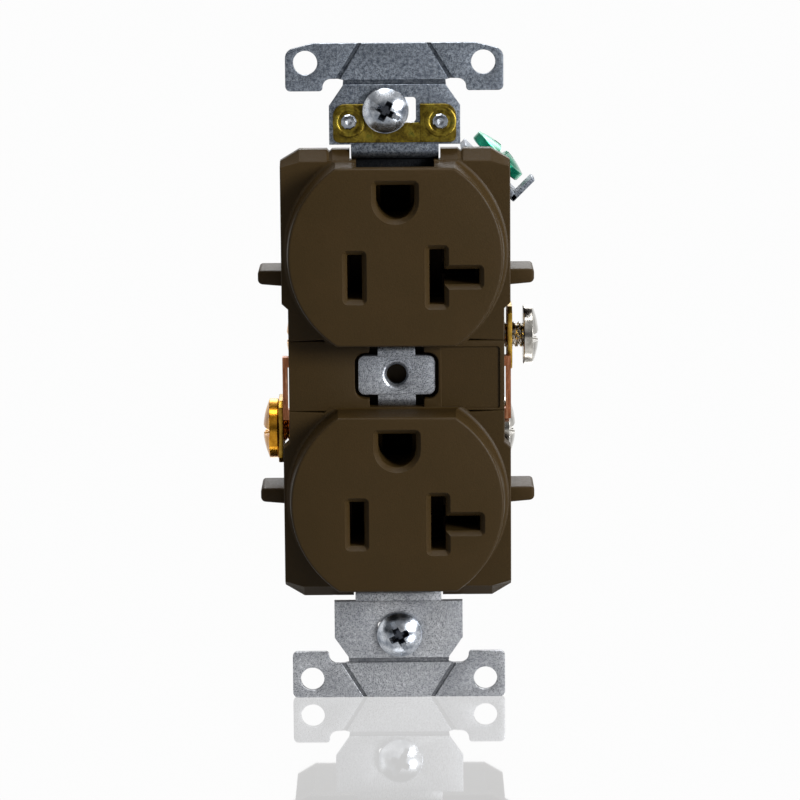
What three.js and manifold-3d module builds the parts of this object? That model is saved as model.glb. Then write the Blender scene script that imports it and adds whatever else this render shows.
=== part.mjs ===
// Duplex wall outlet, 20 A 125 V, with side and back wiring and a self-grounding strap.
// Millimetres. +X is to the right of someone facing the wall, +Y goes into the wall, +Z is up.
// The origin is the middle of the strap, on the back of its ears, where they bear on the wall box.

import * as THREE from 'three';
import { mergeVertices } from 'three/addons/utils/BufferGeometryUtils.js';
import Module from 'manifold-3d';

const wasm = await Module();
wasm.setup();

// ---------------------------------------------------------------- driving dimensions

const running = 0.3;          // clearance round pieces that pass through or move
const turnedGap = 0.3;        // clearance between pieces that stand on a slant

// Outlet faces and their slots
const outletPitch = 38.9;     // centre to centre
const faceRadius = 16.65;
const faceHalfHeight = 13.9;  // centre to flat
const faceRise = 5.76;        // face above the shoulder
const faceEdge = 0.45;        // bevelled rim
const faceWall = 2.2;
const bladeHalfPitch = 6.35;  // blade slots left and right of the centre line
const bladeDrop = 3.05;       // blade slots below the face centre
const groundRise = 11.9;      // ground hole above the blade slots
const hotSlot = { width: 2.3, height: 7.0 };
const neutralSlot = { width: 2.3, height: 8.6, armHeight: 2.37, armReach: 6.55 };
const groundHole = { radius: 2.95, flat: 2.4 };
const slotChamfer = 0.75;
const ribs = { every: 9.0, half: 0.88, rise: 3.0, collar: 1.76 };   // walls across the pocket behind a face

// Housing
const coverMargin = { side: 1.2, end: 2.15 };       // shoulder beyond the faces
const coverWall = 1.8;
const coverAboveStrap = 0.8;
const coverBehindStrap = 2.2;
const cornerChamfer = { across: 3.0, down: 1.8 };
const beyond = 1.0;           // how far cutting tools run past the piece they cut
const endBevel = 1.7;         // sloped top and bottom edges of the shoulder
const waistInset = 0.98;
const waistShortfall = 2.2;   // the waist ends this much before the wiring recess does
const waistStep = 0.9;
const bodyInset = { side: 0.85, top: 4.0, bottom: 0.9 };   // back body inside the cover's outline
const coverLedge = 1.0;       // the cover's top wall over the top of the body
const bodyBeyondRecess = 7.0;
const recessEndMargin = 3.95; // wiring recess shorter than half the outlet pitch
const recessBehindScrew = 6.5;
const recessClearance = 1.1;  // recess wall inside the bus bar's outer face
const wing = { reach: 4.7, front: 0.8, depth: 8.5, gap: 0.6, thickness: 2.7, tip: 2.2, round: 0.8 };
const wireHole = { radius: 1.4, spread: 3.3 };
const notchClearance = 0.55;  // housing beside the strap's neck
const padWindow = { gap: 0.5, neckGap: 1.3, faceGap: 0.05 };
const label = { left: 7.0, right: 16.1, halfHeight: 5.1, rise: -0.6, depth: 0.35, radius: 0.5 };

// Strap; its upper and lower ends are alike, and measured outward from the housing's end
const strapThickness = 1.1;
const neckHalf = 6.8;
const shoulderGap = 0.8;      // bare strap between the housing and its wide part
const widePart = { half: 10.15, height: 6.0 };
const mountingRise = 5.37;    // mounting slot above the foot of the wide part
const strapWaist = { half: 8.0, rise: 3.73 };       // rises here are above the mounting slot
const notch = { inner: 7.9, outer: 11.1, rise: 4.83, radius: 1.3, corner: { across: 0.9, down: 0.2 } };
const ear = {
  halfWidth: 16.85, bottomRise: 2.93, topRise: 10.33, cornerDrop: 1.1, slantStart: 12.5, lowRadius: 0.8,
  topRadius: 1.3,
};
const earHole = { radius: 1.87, x: 13.74, rise: 7.33 };
const mountingSlot = { halfLength: 3.3, halfHeight: 1.95, radius: 0.6 };
const railHalf = 3.9;         // narrow stretch between the blade contacts
const pad = {
  halfWidth: 6.05, halfHeight: 3.15, radius: 1.1, neckHalf: 2.96, hole: 1.4, flatEnd: 4.2, bend: 1.6,
};
const lap = 0.2;              // how far strap stretches run into each other
const groundOpening = 0.4;    // opening in the strap beyond the ground hole
const widening = { aroundRivet: 0.4, aboveHole: 2.0, belowSlot: 2.0 };
const groundTab = {
  inset: { side: 3.45, end: 4.0 }, upper: 5.3, lipGap: 0.35, lip: 4.3, behindScrew: 4.5, webHalf: 1.4,
  webBelow: 3.9,
};

// Screws
const terminalScrew = {
  head: 4.75, thick: 2.5, edge: 1.5, shank: 2.08, length: 8.5, slot: 1.3, slotDepth: 1.1, spin: 0,
};
const groundScrew = {
  head: 4.8, thick: 2.4, edge: 1.5, shank: 2.08, length: 7.2, slot: 1.3, slotDepth: 1.1, spin: Math.PI / 2,
};
const mountingScrew = {
  head: 3.58, thick: 2.2, edge: 0.7, shank: 1.6, length: 18.0, slot: 1.0, slotDepth: 1.0, spin: 0.6,
};
const assemblyScrew = {
  head: 2.8, thick: 1.6, edge: 0.9, shank: 1.4, length: 20.4, slot: 0.8, slotDepth: 0.8, spin: 0.5,
};
const terminalHalfPitch = 7.44;
const terminalLift = 0.35;    // middle of the screw pairs above the middle of the blade slots
const screwUnderFin = 0.35;   // screw heads reach this far in front of the fins' back edge
const groundHeadLift = 1.2;   // gap under the loose ground screw's head
const mountingLift = 0.1;     // gap under a mounting screw's head
const mountingShift = { upper: -1.4, lower: 0.1 };  // where each screw lies along its slot
const assemblyInset = { x: 4.25, top: 3.9, bottom: 4.2, belowWeb: 4.0 };
const assemblyBoss = { wall: 1.3, front: 0.5, skin: 1.0, thread: 0.05 };

// Contacts and plates
const bus = { beyondSlot: 1.2, thickness: 1.0, ahead: 3.8, behind: 4.0, hole: 2.4 };
const fin = { beyondWaist: 1.13, thickness: 0.8, front: 0.3, depth: 1.6, halfHeight: 5.0, bridge: 1.6 };
const jaw = { thickness: 0.7, front: 0.3, halfHeight: 3.2, grip: 0.9, slit: 0.4, slitStop: 3.0, room: 1.0 };
const groundJaw = {
  halfGap: 2.35, thickness: 0.7, base: 0.8, halfWidth: 4.4, top: 3.2, bottom: 3.6, halfHeight: 2.0,
  depth: 9.8, footHalf: 2.3, radius: 0.6, rim: { above: 0.5, below: 0.7 },
};
const plate = { thickness: 0.8, narrower: 0.75, halfHeight: 5.0, corner: 1.0, hole: 2.4, gap: 0.05 };
const clip = {
  thickness: 0.5, inset: 0.61, rise: 0.3, bridge: 3.1, lobeInner: 3.9, corner: 1.8, footRadius: 1.0,
  wideLobe: 0.6,
};
const clipRivet = { x: 7.08, rise: 3.3, head: 1.2, proud: 0.35, shank: 0.9, hole: 1.0 };
const contactRivet = { head: 1.3, proud: 0.6, front: 0.24, shank: 1.0, hole: 1.1, margin: 0.3 };
const retainer = { halfWidth: 2.9, halfHeight: 4.4, thickness: 0.8, radius: 0.8, gap: 2.3, hole: 1.65 };

// How far each terminal screw is backed out, and its plate's distance outside the bus bar
const terminals = [
  { name: 'upper_left', side: -1, up: 1, backedOut: 0, plateLift: 0.05, finish: 'brass' },
  { name: 'lower_left', side: -1, up: -1, backedOut: 3.9, plateLift: 3.95, finish: 'brass' },
  { name: 'upper_right', side: 1, up: 1, backedOut: 5.1, plateLift: 3.4, finish: 'silver' },
  { name: 'lower_right', side: 1, up: -1, backedOut: 1.4, plateLift: 1.45, finish: 'silver' },
];

// ---------------------------------------------------------------- derived places

// Depths
const shoulder = -(strapThickness + coverAboveStrap);
const face = shoulder - faceRise;
const parting = coverBehindStrap;
const strapInside = parting - strapThickness;
const finBack = parting + fin.front + fin.depth;
const terminalDepth = finBack + terminalScrew.head - screwUnderFin;
const busFront = terminalDepth - bus.ahead;
const busBack = terminalDepth + bus.behind;
const pocketBack = busBack + jaw.room;
const recessFloor = terminalDepth + recessBehindScrew;
const bodyBack = recessFloor + bodyBeyondRecess;
const jawFront = parting + jaw.front;

// Heights and widths
const coverHalfWidth = faceRadius + coverMargin.side;
const coverHalfHeight = outletPitch / 2 + faceHalfHeight + coverMargin.end;
const bodyHalfWidth = coverHalfWidth - bodyInset.side;
const bodyTop = coverHalfHeight - bodyInset.top;
const bodyBottom = bodyInset.bottom - coverHalfHeight;
const waistHalfWidth = coverHalfWidth - waistInset;
const recessHalfHeight = outletPitch / 2 - recessEndMargin;
const busOuter = bladeHalfPitch + neutralSlot.armReach + bus.beyondSlot;
const recessHalfWidth = busOuter - recessClearance;
const finOuter = waistHalfWidth + fin.beyondWaist;
const seatedUnderside = busOuter + plate.thickness + 2 * plate.gap;
const terminalMiddle = terminalLift - bladeDrop;
const outlets = ['upper', 'lower'];
const outletZ = { upper: outletPitch / 2, lower: -outletPitch / 2 };
const bladeZ = (name) => outletZ[name] - bladeDrop;
const groundZ = (name) => bladeZ(name) + groundRise;
const rivetZ = (name) => groundZ(name) - groundJaw.bottom - contactRivet.head - contactRivet.margin;
const terminalZ = (up) => terminalMiddle + up * terminalHalfPitch;
const wideFoot = coverHalfHeight + shoulderGap;
const mountingZ = wideFoot + mountingRise;
const padBendEnd = pad.flatEnd + pad.bend;
const neckBend = strapInside + strapThickness;   // the neck falls back at 45 degrees
const clipRivetZ = wideFoot + clipRivet.rise;
const notchHalf = neckHalf + notchClearance;
const tab = { x: coverHalfWidth - groundTab.inset.side, z: coverHalfHeight - groundTab.inset.end };
const webFoot = tab.z - groundTab.webBelow;
const assemblyX = coverHalfWidth - assemblyInset.x;
const assemblyLow = bodyBottom + assemblyInset.bottom;
const assemblyAt = [
  [-assemblyX, bodyTop - assemblyInset.top], [assemblyX, webFoot - assemblyInset.belowWeb],
  [-assemblyX, assemblyLow], [assemblyX, assemblyLow],
];

// ---------------------------------------------------------------- shape tools

const axisX = new THREE.Vector3(1, 0, 0);
const axisY = new THREE.Vector3(0, 1, 0);
const axisZ = new THREE.Vector3(0, 0, 1);

// Places are kept to a ten-thousandth, so that faces meant to be level with each other are exactly so.
function solid(geometry) {
  const bare = geometry.clone();
  const at = bare.attributes.position.array;
  at.forEach((value, i) => { at[i] = Math.round(value * 1e4) / 1e4; });
  for (const name of Object.keys(bare.attributes)) {
    if (name !== 'position') bare.deleteAttribute(name);
  }
  const merged = mergeVertices(bare, 1e-5);
  return new wasm.Manifold(new wasm.Mesh({
    numProp: 3,
    vertProperties: new Float32Array(merged.attributes.position.array),
    triVerts: new Uint32Array(merged.index.array),
  }));
}

function joined(...pieces) {
  return pieces.reduce((all, piece) => all.add(piece));
}

function cut(piece, ...tools) {
  return tools.reduce((left, tool) => left.subtract(tool), piece);
}

function inOrder(a, b) {
  return a < b ? [a, b] : [b, a];
}

// A closed outline through corners [x, y, radius]; a corner with a radius becomes an arc.
function outline(corners, steps = 3) {
  const points = [];
  corners.forEach(([x, y, radius = 0], i) => {
    const corner = new THREE.Vector2(x, y);
    if (radius === 0) {
      points.push(corner);
      return;
    }
    const towards = ([nx, ny]) => new THREE.Vector2(nx, ny).sub(corner).normalize();
    const before = towards(corners.at(i - 1));
    const after = towards(corners[(i + 1) % corners.length]);
    const half = Math.acos(THREE.MathUtils.clamp(before.dot(after), -1, 1)) / 2;
    const start = before.clone().multiplyScalar(radius / Math.tan(half)).add(corner);
    const middle = before.clone().add(after).normalize().multiplyScalar(radius / Math.sin(half)).add(corner);
    const sweep = Math.sign(before.cross(after)) * (Math.PI - 2 * half);
    for (let s = 0; s <= steps; s += 1) {
      points.push(start.clone().rotateAround(middle, -sweep * s / steps));
    }
  });
  return new THREE.Shape(points);
}

function rectangle(x0, x1, y0, y1, radius = 0) {
  return outline([[x0, y0, radius], [x1, y0, radius], [x1, y1, radius], [x0, y1, radius]]);
}

// A front view outline (x right, y up) given thickness from depth front to depth back, with bevelled ends.
function slab(shape, front, back, bevel = 0) {
  const geometry = new THREE.ExtrudeGeometry(shape, {
    depth: back - front - 2 * bevel, steps: 1, curveSegments: 12,
    bevelEnabled: bevel > 0, bevelThickness: bevel, bevelSize: bevel, bevelOffset: -bevel, bevelSegments: 1,
  });
  geometry.applyMatrix4(new THREE.Matrix4().makeBasis(axisX, axisZ, axisY.clone().negate()));
  geometry.translate(0, back - bevel, 0);
  return solid(geometry);
}

// A side view outline (x is depth, y is up) carried from x0 to x1 across the width.
function across(points, x0, x1) {
  const options = { depth: x1 - x0, steps: 1, bevelEnabled: false };
  const geometry = new THREE.ExtrudeGeometry(outline(points), options);
  geometry.applyMatrix4(new THREE.Matrix4().makeBasis(axisY, axisZ, axisX));
  geometry.translate(x0, 0, 0);
  return solid(geometry);
}

function block(x0, x1, y0, y1, z0, z1) {
  const geometry = new THREE.BoxGeometry(x1 - x0, y1 - y0, z1 - z0);
  geometry.translate((x0 + x1) / 2, (y0 + y1) / 2, (z0 + z1) / 2);
  return solid(geometry);
}

function rodY(radius, x, z, y0, y1, segments = 16) {
  const geometry = new THREE.CylinderGeometry(radius, radius, y1 - y0, segments);
  geometry.translate(x, (y0 + y1) / 2, z);
  return solid(geometry);
}

function rodX(radius, y, z, x0, x1, segments = 16) {
  const geometry = new THREE.CylinderGeometry(radius, radius, x1 - x0, segments);
  geometry.rotateZ(-Math.PI / 2);
  geometry.translate((x0 + x1) / 2, y, z);
  return solid(geometry);
}

// A screw along its own +Y: the head's underside is at 0, the shank goes down, the slot is on top.
function screwBlank({ head, thick, edge, shank, length, slot, slotDepth }) {
  const profile = [
    [0, -length], [shank * 0.7, -length], [shank, -length + shank * 0.5], [shank, 0],
    [head, 0], [head, edge], [head * 0.8, edge + (thick - edge) * 0.75], [0, thick],
  ].map(([r, y]) => new THREE.Vector2(r, y));
  const turned = solid(new THREE.LatheGeometry(profile, 18));
  return cut(turned, block(-head, head, thick - slotDepth, thick + 1, -slot / 2, slot / 2));
}

// The same screw with its head pointing along a direction, the head's underside at a point.
function placedScrew(size, point, direction) {
  const turn = new THREE.Quaternion().setFromUnitVectors(axisY, direction);
  turn.multiply(new THREE.Quaternion().setFromAxisAngle(axisY, size.spin));
  const place = new THREE.Matrix4().compose(point, turn, new THREE.Vector3(1, 1, 1));
  return screwBlank(size).transform(place.elements.slice());
}

// ---------------------------------------------------------------- outlines shared by pieces

function faceOutline(z, inset = 0) {
  const radius = faceRadius - inset;
  const reach = Math.asin((faceHalfHeight - inset) / radius);
  const shape = new THREE.Shape();
  shape.absarc(0, z, radius, -reach, reach);
  shape.absarc(0, z, radius, Math.PI - reach, Math.PI + reach);
  return shape;
}

// Right-hand half of the housing's outline from the bottom up; the left half mirrors it.
function housingOutline(halfWidth, bottom, top, waistHalf) {
  const { across: cx, down: cz } = cornerChamfer;
  const low = terminalMiddle - recessHalfHeight + waistShortfall;
  const high = terminalMiddle + recessHalfHeight - waistShortfall;
  const half = [
    [halfWidth - cx, bottom], [halfWidth, bottom + cz],
    [halfWidth, low - waistStep], [waistHalf, low],
    [waistHalf, high], [halfWidth, high + waistStep],
    [halfWidth, top - cz], [halfWidth - cx, top],
  ];
  return outline([...half, ...half.toReversed().map(([x, z]) => [-x, z])]);
}

function hotSlotOutline(z, grow = 0) {
  const w = hotSlot.width / 2 + grow;
  const h = hotSlot.height / 2 + grow;
  return rectangle(-bladeHalfPitch - w, -bladeHalfPitch + w, z - h, z + h);
}

// A sideways T: an upright slot with an arm towards the outside, level with its middle.
function neutralSlotOutline(z, grow = 0) {
  const x = bladeHalfPitch;
  const w = neutralSlot.width / 2 + grow;
  const h = neutralSlot.height / 2 + grow;
  const a = neutralSlot.armHeight / 2 + grow;
  const reach = x + neutralSlot.armReach + grow;
  return outline([
    [x - w, z - h], [x + w, z - h], [x + w, z - a], [reach, z - a],
    [reach, z + a], [x + w, z + a], [x + w, z + h], [x - w, z + h],
  ]);
}

// A D with its flat on top.
function groundOutline(z, grow = 0) {
  const shape = new THREE.Shape();
  shape.absarc(0, z, groundHole.radius + grow, Math.PI, 2 * Math.PI);
  shape.lineTo(groundHole.radius + grow, z + groundHole.flat + grow);
  shape.lineTo(-groundHole.radius - grow, z + groundHole.flat + grow);
  return shape;
}

// A hole through the face with a chamfered mouth.
function mouthed(outlineAt, z, back) {
  const c = slotChamfer;
  return joined(slab(outlineAt(z), face - beyond, back), slab(outlineAt(z, c), face - 2 * c, face + c, c));
}

// ---------------------------------------------------------------- housing

function faceCover() {
  const base = slab(
    housingOutline(coverHalfWidth, -coverHalfHeight, coverHalfHeight, waistHalfWidth), shoulder, parting);
  const w = coverWall;
  const inside = parting + beyond;
  const hollow = slab(
    housingOutline(coverHalfWidth - w, w - coverHalfHeight, bodyTop - coverLedge, waistHalfWidth - w),
    shoulder + w, inside);
  let shell = cut(base, hollow);

  for (const name of outlets) {
    const z = outletZ[name];
    shell = joined(shell, slab(faceOutline(z), face, shoulder + w, faceEdge));
  }
  for (const name of outlets) {
    const z = outletZ[name];
    const pocket = slab(faceOutline(z, faceWall), face + faceWall, inside);
    const walls = [
      slab(hotSlotOutline(bladeZ(name), ribs.collar), face, shoulder + w),
      slab(neutralSlotOutline(bladeZ(name), ribs.collar), face, shoulder + w),
      slab(groundOutline(groundZ(name), ribs.collar), face, shoulder + w),
      block(-faceRadius, faceRadius, face, shoulder + w,
        z + ribs.rise - ribs.half, z + ribs.rise + ribs.half),
    ];
    for (let x = -ribs.every; x <= ribs.every; x += ribs.every) {
      walls.push(block(x - ribs.half, x + ribs.half, face, shoulder + w, z - faceRadius, z + faceRadius));
    }
    shell = cut(shell, cut(pocket, ...walls));
    shell = cut(shell,
      mouthed(hotSlotOutline, bladeZ(name), inside),
      mouthed(neutralSlotOutline, bladeZ(name), inside),
      mouthed(groundOutline, groundZ(name), inside));
  }

  const { wall, front, skin, thread } = assemblyBoss;
  const { shank } = assemblyScrew;
  const bosses = assemblyAt.map(([x, z]) => rodY(shank + wall, x, z, shoulder + front, parting));
  const threads = assemblyAt.map(([x, z]) => rodY(shank + thread, x, z, shoulder + skin, inside));
  shell = cut(joined(shell, ...bosses), ...threads);

  // Openings for the strap: the neck at each end, and the window round the pad.
  const outerFlat = outletZ.upper + faceHalfHeight;
  const innerFlat = outletZ.upper - faceHalfHeight;
  const gap = padWindow.gap;
  const windows = [
    slab(rectangle(-pad.halfWidth - gap, pad.halfWidth + gap, -pad.halfHeight - gap, pad.halfHeight + gap,
      pad.radius + gap), shoulder - beyond, inside),
    block(-pad.neckHalf - padWindow.neckGap, pad.neckHalf + padWindow.neckGap, shoulder - beyond, inside,
      -innerFlat, innerFlat),
  ];
  for (const up of [1, -1]) {
    const [z0, z1] = inOrder(up * (outerFlat + padWindow.faceGap), up * (coverHalfHeight + beyond));
    windows.push(block(-notchHalf, notchHalf, shoulder - beyond, inside, z0, z1));
    // The front edge of the end is sloped at 45 degrees.
    const bevel = [[shoulder - beyond, up * (coverHalfHeight + beyond)],
      [shoulder - beyond, up * (coverHalfHeight - endBevel - beyond)],
      [shoulder + endBevel, up * coverHalfHeight]];
    windows.push(across(bevel, -coverHalfWidth - beyond, coverHalfWidth + beyond));
  }
  const { left, right, rise, halfHeight, depth, radius } = label;
  windows.push(slab(rectangle(left, right, rise - halfHeight, rise + halfHeight, radius),
    shoulder - beyond, shoulder + depth));
  return cut(shell, ...windows, strapChannel());
}

// The strap lies in a channel under the face wall, from each end of the housing to the pad.
function strapChannel() {
  const front = strapInside - running;
  const back = parting + beyond;
  const half = neckHalf + running;
  const tools = [];
  for (const up of [1, -1]) {
    const ends = inOrder(up * (pad.flatEnd - running), up * (coverHalfHeight + beyond));
    tools.push(block(-railHalf - running, railHalf + running, front, back, ...ends));
  }
  for (const [z0, z1] of wideStretches()) {
    tools.push(block(-half, half, front, back, z0 - running, z1 + running));
  }
  tools.push(slab(webOutline(running, running + strapThickness / 2), front, back));
  return joined(...tools);
}

function screwBores() {
  const bores = [];
  for (const { side, up } of terminals) {
    const inner = seatedUnderside - terminalScrew.length - beyond;
    const ends = inOrder(side * inner, side * (recessHalfWidth + beyond));
    bores.push(rodX(terminalScrew.shank + running, terminalDepth, terminalZ(up), ...ends));
  }
  return bores;
}

// One thumb-like wing: flat on top, sloped below, carried back along the side of the body.
function wingSolid(side, up) {
  const root = side * (bodyHalfWidth - beyond);
  const tip = side * (bodyHalfWidth + wing.reach);
  const inner = terminalMiddle + up * (recessHalfHeight + wing.gap);
  const [bottom, top] = inOrder(inner, inner + up * wing.thickness);
  const shape = outline([
    [root, bottom], [tip, top - wing.tip, wing.round], [tip, top, wing.round], [root, top],
  ]);
  return slab(shape, parting + wing.front, parting + wing.front + wing.depth);
}

function backBody() {
  let shell = slab(housingOutline(bodyHalfWidth, bodyBottom, bodyTop, bodyHalfWidth), parting, bodyBack);
  for (const side of [-1, 1]) {
    const ends = inOrder(side * recessHalfWidth, side * (bodyHalfWidth + beyond));
    shell = cut(shell, block(...ends, parting - beyond, recessFloor,
      terminalMiddle - recessHalfHeight, terminalMiddle + recessHalfHeight));
    for (const up of [-1, 1]) shell = joined(shell, wingSolid(side, up));
  }
  const tools = [...screwBores(), ...backWireHoles()];
  for (const name of outlets) {
    const z = bladeZ(name);
    const tall = jaw.halfHeight + jaw.thickness + running;
    const wide = busOuter + running;
    const inner = bladeHalfPitch - hotSlot.width / 2 - jaw.thickness - jaw.room / 2 - running;
    tools.push(block(-wide, -inner, parting - beyond, pocketBack, z - tall, z + tall));
    const tee = neutralSlot.height / 2 + jaw.thickness + running;
    tools.push(block(inner, wide, parting - beyond, pocketBack, z - tee, z + tee));
    const g = groundZ(name);
    const half = groundJaw.halfWidth + running;
    const foot = groundJaw.footHalf + running;
    tools.push(
      block(-half, half, parting - beyond, parting + groundJaw.depth + running,
        g - groundJaw.bottom - running, g + groundJaw.top + running),
      block(-foot, foot, parting - beyond, parting + groundJaw.base + contactRivet.proud + running,
        rivetZ(name) - contactRivet.head - running, g));
  }
  for (const side of [-1, 1]) {
    // The bus bar's slot, joining the wiring recess to the contact pockets above and below it.
    const ends = inOrder(side * (busOuter - bus.thickness - running), side * (busOuter + running));
    tools.push(block(...ends, parting - beyond, pocketBack, bladeZ('lower'), bladeZ('upper')));
  }
  for (const [x, z] of assemblyAt) {
    tools.push(rodY(assemblyScrew.shank + running, x, z, parting - beyond, bodyBack + beyond));
    tools.push(rodY(assemblyScrew.head + running, x, z, bodyBack - assemblyScrew.thick - running,
      bodyBack + beyond));
  }
  return cut(shell, ...tools, groundCorner(), groundScrewBore());
}

// Two holes behind each terminal, where a stripped wire is pushed in under the pressure plate.
function backWireHoles() {
  const holes = [];
  for (const { side, up } of terminals) {
    for (const along of [-1, 1]) {
      const x = side * (busOuter + plate.thickness);
      const z = terminalZ(up) + along * wireHole.spread;
      holes.push(rodY(wireHole.radius, x, z, recessFloor - beyond, bodyBack + beyond, 12));
    }
  }
  return holes;
}

// ---------------------------------------------------------------- ground terminal, set at 45 degrees

const outward = new THREE.Vector3(1, 0, 1).normalize();
const downTab = new THREE.Vector3(1, 0, -1).normalize();
const tabMiddle = new THREE.Vector3(tab.x, 0, tab.z);

// The ground terminal is drawn upright, with x along its tab, y deep and z outward, then turned into place.
function onTab(piece) {
  const place = new THREE.Matrix4().makeBasis(downTab, axisY, outward).setPosition(tabMiddle);
  return piece.transform(place.elements.slice());
}

function tabHole(radius, out0, out1) {
  const geometry = new THREE.CylinderGeometry(radius, radius, out1 - out0, 16);
  geometry.rotateX(Math.PI / 2);
  geometry.translate(0, terminalDepth, (out0 + out1) / 2);
  return solid(geometry);
}

function groundCorner() {
  const reach = bodyHalfWidth;
  const inner = -strapThickness / 2 - turnedGap;
  const back = terminalDepth + groundTab.behindScrew + running;
  return onTab(block(-reach, reach, parting - beyond, back, inner, reach));
}

function groundScrewBore() {
  const inner = strapThickness / 2 + groundHeadLift - groundScrew.length - running;
  return onTab(tabHole(groundScrew.shank + running, inner, beyond));
}

// ---------------------------------------------------------------- strap

// Stretches of the inner level that are as wide as the neck: round each ground hole and at the ends.
function wideStretches() {
  const end = wideFoot - neckBend;
  const around = (name) => [
    rivetZ(name) - contactRivet.head - widening.aroundRivet,
    groundZ(name) + groundHole.flat + widening.aboveHole,
  ];
  return [
    [around('upper')[0], end],
    around('lower'),
    [-end, bladeZ('lower') - neutralSlot.height / 2 - widening.belowSlot],
  ];
}

function earPlate(up) {
  const wideTop = wideFoot + widePart.height;
  const notchTop = mountingZ + notch.rise;
  const earBottom = mountingZ + ear.bottomRise;
  const earTop = mountingZ + ear.topRise;
  // The upper ears slope down to their outer corners; the lower ones are square.
  const outerCorner = up > 0
    ? [[ear.halfWidth, earTop - ear.cornerDrop, ear.topRadius], [ear.slantStart, earTop]]
    : [[ear.halfWidth, earTop, ear.lowRadius]];
  const right = [
    [neckHalf, wideFoot], [widePart.half, wideFoot], [widePart.half, wideTop],
    [strapWaist.half, mountingZ + strapWaist.rise], [notch.inner, notchTop - notch.corner.down],
    [notch.inner + notch.corner.across, notchTop],
    [notch.outer, notchTop, notch.radius], [notch.outer, earBottom],
    [ear.halfWidth, earBottom, ear.lowRadius], ...outerCorner,
  ].map(([x, z, r]) => [x, up * z, r]);
  const shape = outline([...right, ...right.toReversed().map(([x, z, r]) => [-x, z, r])]);
  const { halfLength, halfHeight, radius } = mountingSlot;
  const z = up * mountingZ;
  const holeZ = up * (mountingZ + earHole.rise);
  const front = -strapThickness - beyond;
  return cut(slab(shape, -strapThickness, 0),
    slab(rectangle(-halfLength, halfLength, z - halfHeight, z + halfHeight, radius), front, beyond),
    rodY(earHole.radius, earHole.x, holeZ, front, beyond),
    rodY(earHole.radius, -earHole.x, holeZ, front, beyond));
}

// A sloped stretch between the ears' level and the inner level.
function ramp(z0, z1, halfWidth) {
  const t = strapThickness;
  return across([[-t, z0], [0, z0], [strapInside + t, z1], [strapInside, z1]], -halfWidth, halfWidth);
}

function mountingStrap() {
  const t = strapThickness;
  const back = strapInside + t;
  const { halfWidth: padWidth, halfHeight: padHeight } = pad;
  const parts = [slab(rectangle(-padWidth, padWidth, -padHeight, padHeight, pad.radius), -t, 0)];
  for (const up of [1, -1]) {
    const bend = wideFoot - neckBend;
    parts.push(earPlate(up));
    parts.push(ramp(up * (wideFoot + lap), up * bend, neckHalf));
    parts.push(block(-pad.neckHalf, pad.neckHalf, -t, 0, ...inOrder(0, up * pad.flatEnd)));
    parts.push(ramp(up * (pad.flatEnd - lap), up * padBendEnd, pad.neckHalf));
    const ends = inOrder(up * (padBendEnd - lap), up * (bend + lap));
    parts.push(block(-railHalf, railHalf, strapInside, back, ...ends));
  }
  for (const [z0, z1] of wideStretches()) parts.push(block(-neckHalf, neckHalf, strapInside, back, z0, z1));
  const front = -t - beyond;
  const holes = [rodY(pad.hole, 0, 0, front, beyond)];
  for (const name of outlets) {
    holes.push(slab(groundOutline(groundZ(name), groundOpening), 0, back + beyond),
      rodY(contactRivet.hole, 0, rivetZ(name), 0, back + beyond, 12));
  }
  for (const side of [-1, 1]) {
    holes.push(rodY(clipRivet.hole, side * clipRivet.x, clipRivetZ, front, beyond, 12));
  }
  return cut(joined(...parts, groundWeb(), groundTabPlate()), ...holes);
}

// The strap's side arm to the ground terminal, with room round it and past its slanted corner.
function webOutline(room = 0, slantRoom = 0) {
  const side = coverHalfWidth - coverWall - running + room;
  const top = coverHalfHeight - coverWall - running + room;
  const sum = tab.x + tab.z + slantRoom * Math.SQRT2;
  return outline([
    [neckHalf - beyond, webFoot - room], [side, webFoot - room], [side, Math.min(top, sum - side)],
    [sum - top, top], [neckHalf - beyond, top],
  ]);
}

function groundWeb() {
  return slab(webOutline(), strapInside, parting);
}

function groundTabPlate() {
  const half = strapThickness / 2;
  const { upper, lipGap, lip, webHalf } = groundTab;
  const back = terminalDepth + groundTab.behindScrew;
  const plateFront = parting + running;
  const lipInside = groundScrew.head + lipGap;
  const lipOutside = lipInside + strapThickness;
  return onTab(cut(joined(
    block(-upper, lipOutside, plateFront, back, -half, half),
    block(-webHalf, webHalf, strapInside, plateFront + lap, -half, half),
    block(lipInside, lipOutside, plateFront, back, -half, lip),
  ), tabHole(groundScrew.shank + running, -half - beyond, half + beyond)));
}

function groundScrewSolid() {
  const lift = strapThickness / 2 + groundHeadLift;
  const point = outward.clone().multiplyScalar(lift).add(new THREE.Vector3(tab.x, terminalDepth, tab.z));
  return placedScrew(groundScrew, point, outward);
}

// ---------------------------------------------------------------- contacts

function hotBus() {
  const back = busBack;
  const b0 = -busOuter;
  const b1 = -busOuter + bus.thickness;
  const parts = busSide(-1);
  for (const name of outlets) {
    const z = bladeZ(name);
    const h = jaw.halfHeight;
    const inner = -bladeHalfPitch + hotSlot.width / 2 + jaw.thickness;
    parts.push(block(b0, inner, back - bus.thickness, back, z - h, z + h));
    parts.push(block(b0, b1, busFront, back, z - h, z + h));
    for (const sign of [-1, 1]) {
      const near = -bladeHalfPitch + sign * jaw.grip;
      parts.push(block(...inOrder(near, near + sign * jaw.thickness), jawFront, back, z - h, z + h));
    }
  }
  return cut(joined(...parts), ...busHoles(-1));
}

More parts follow.
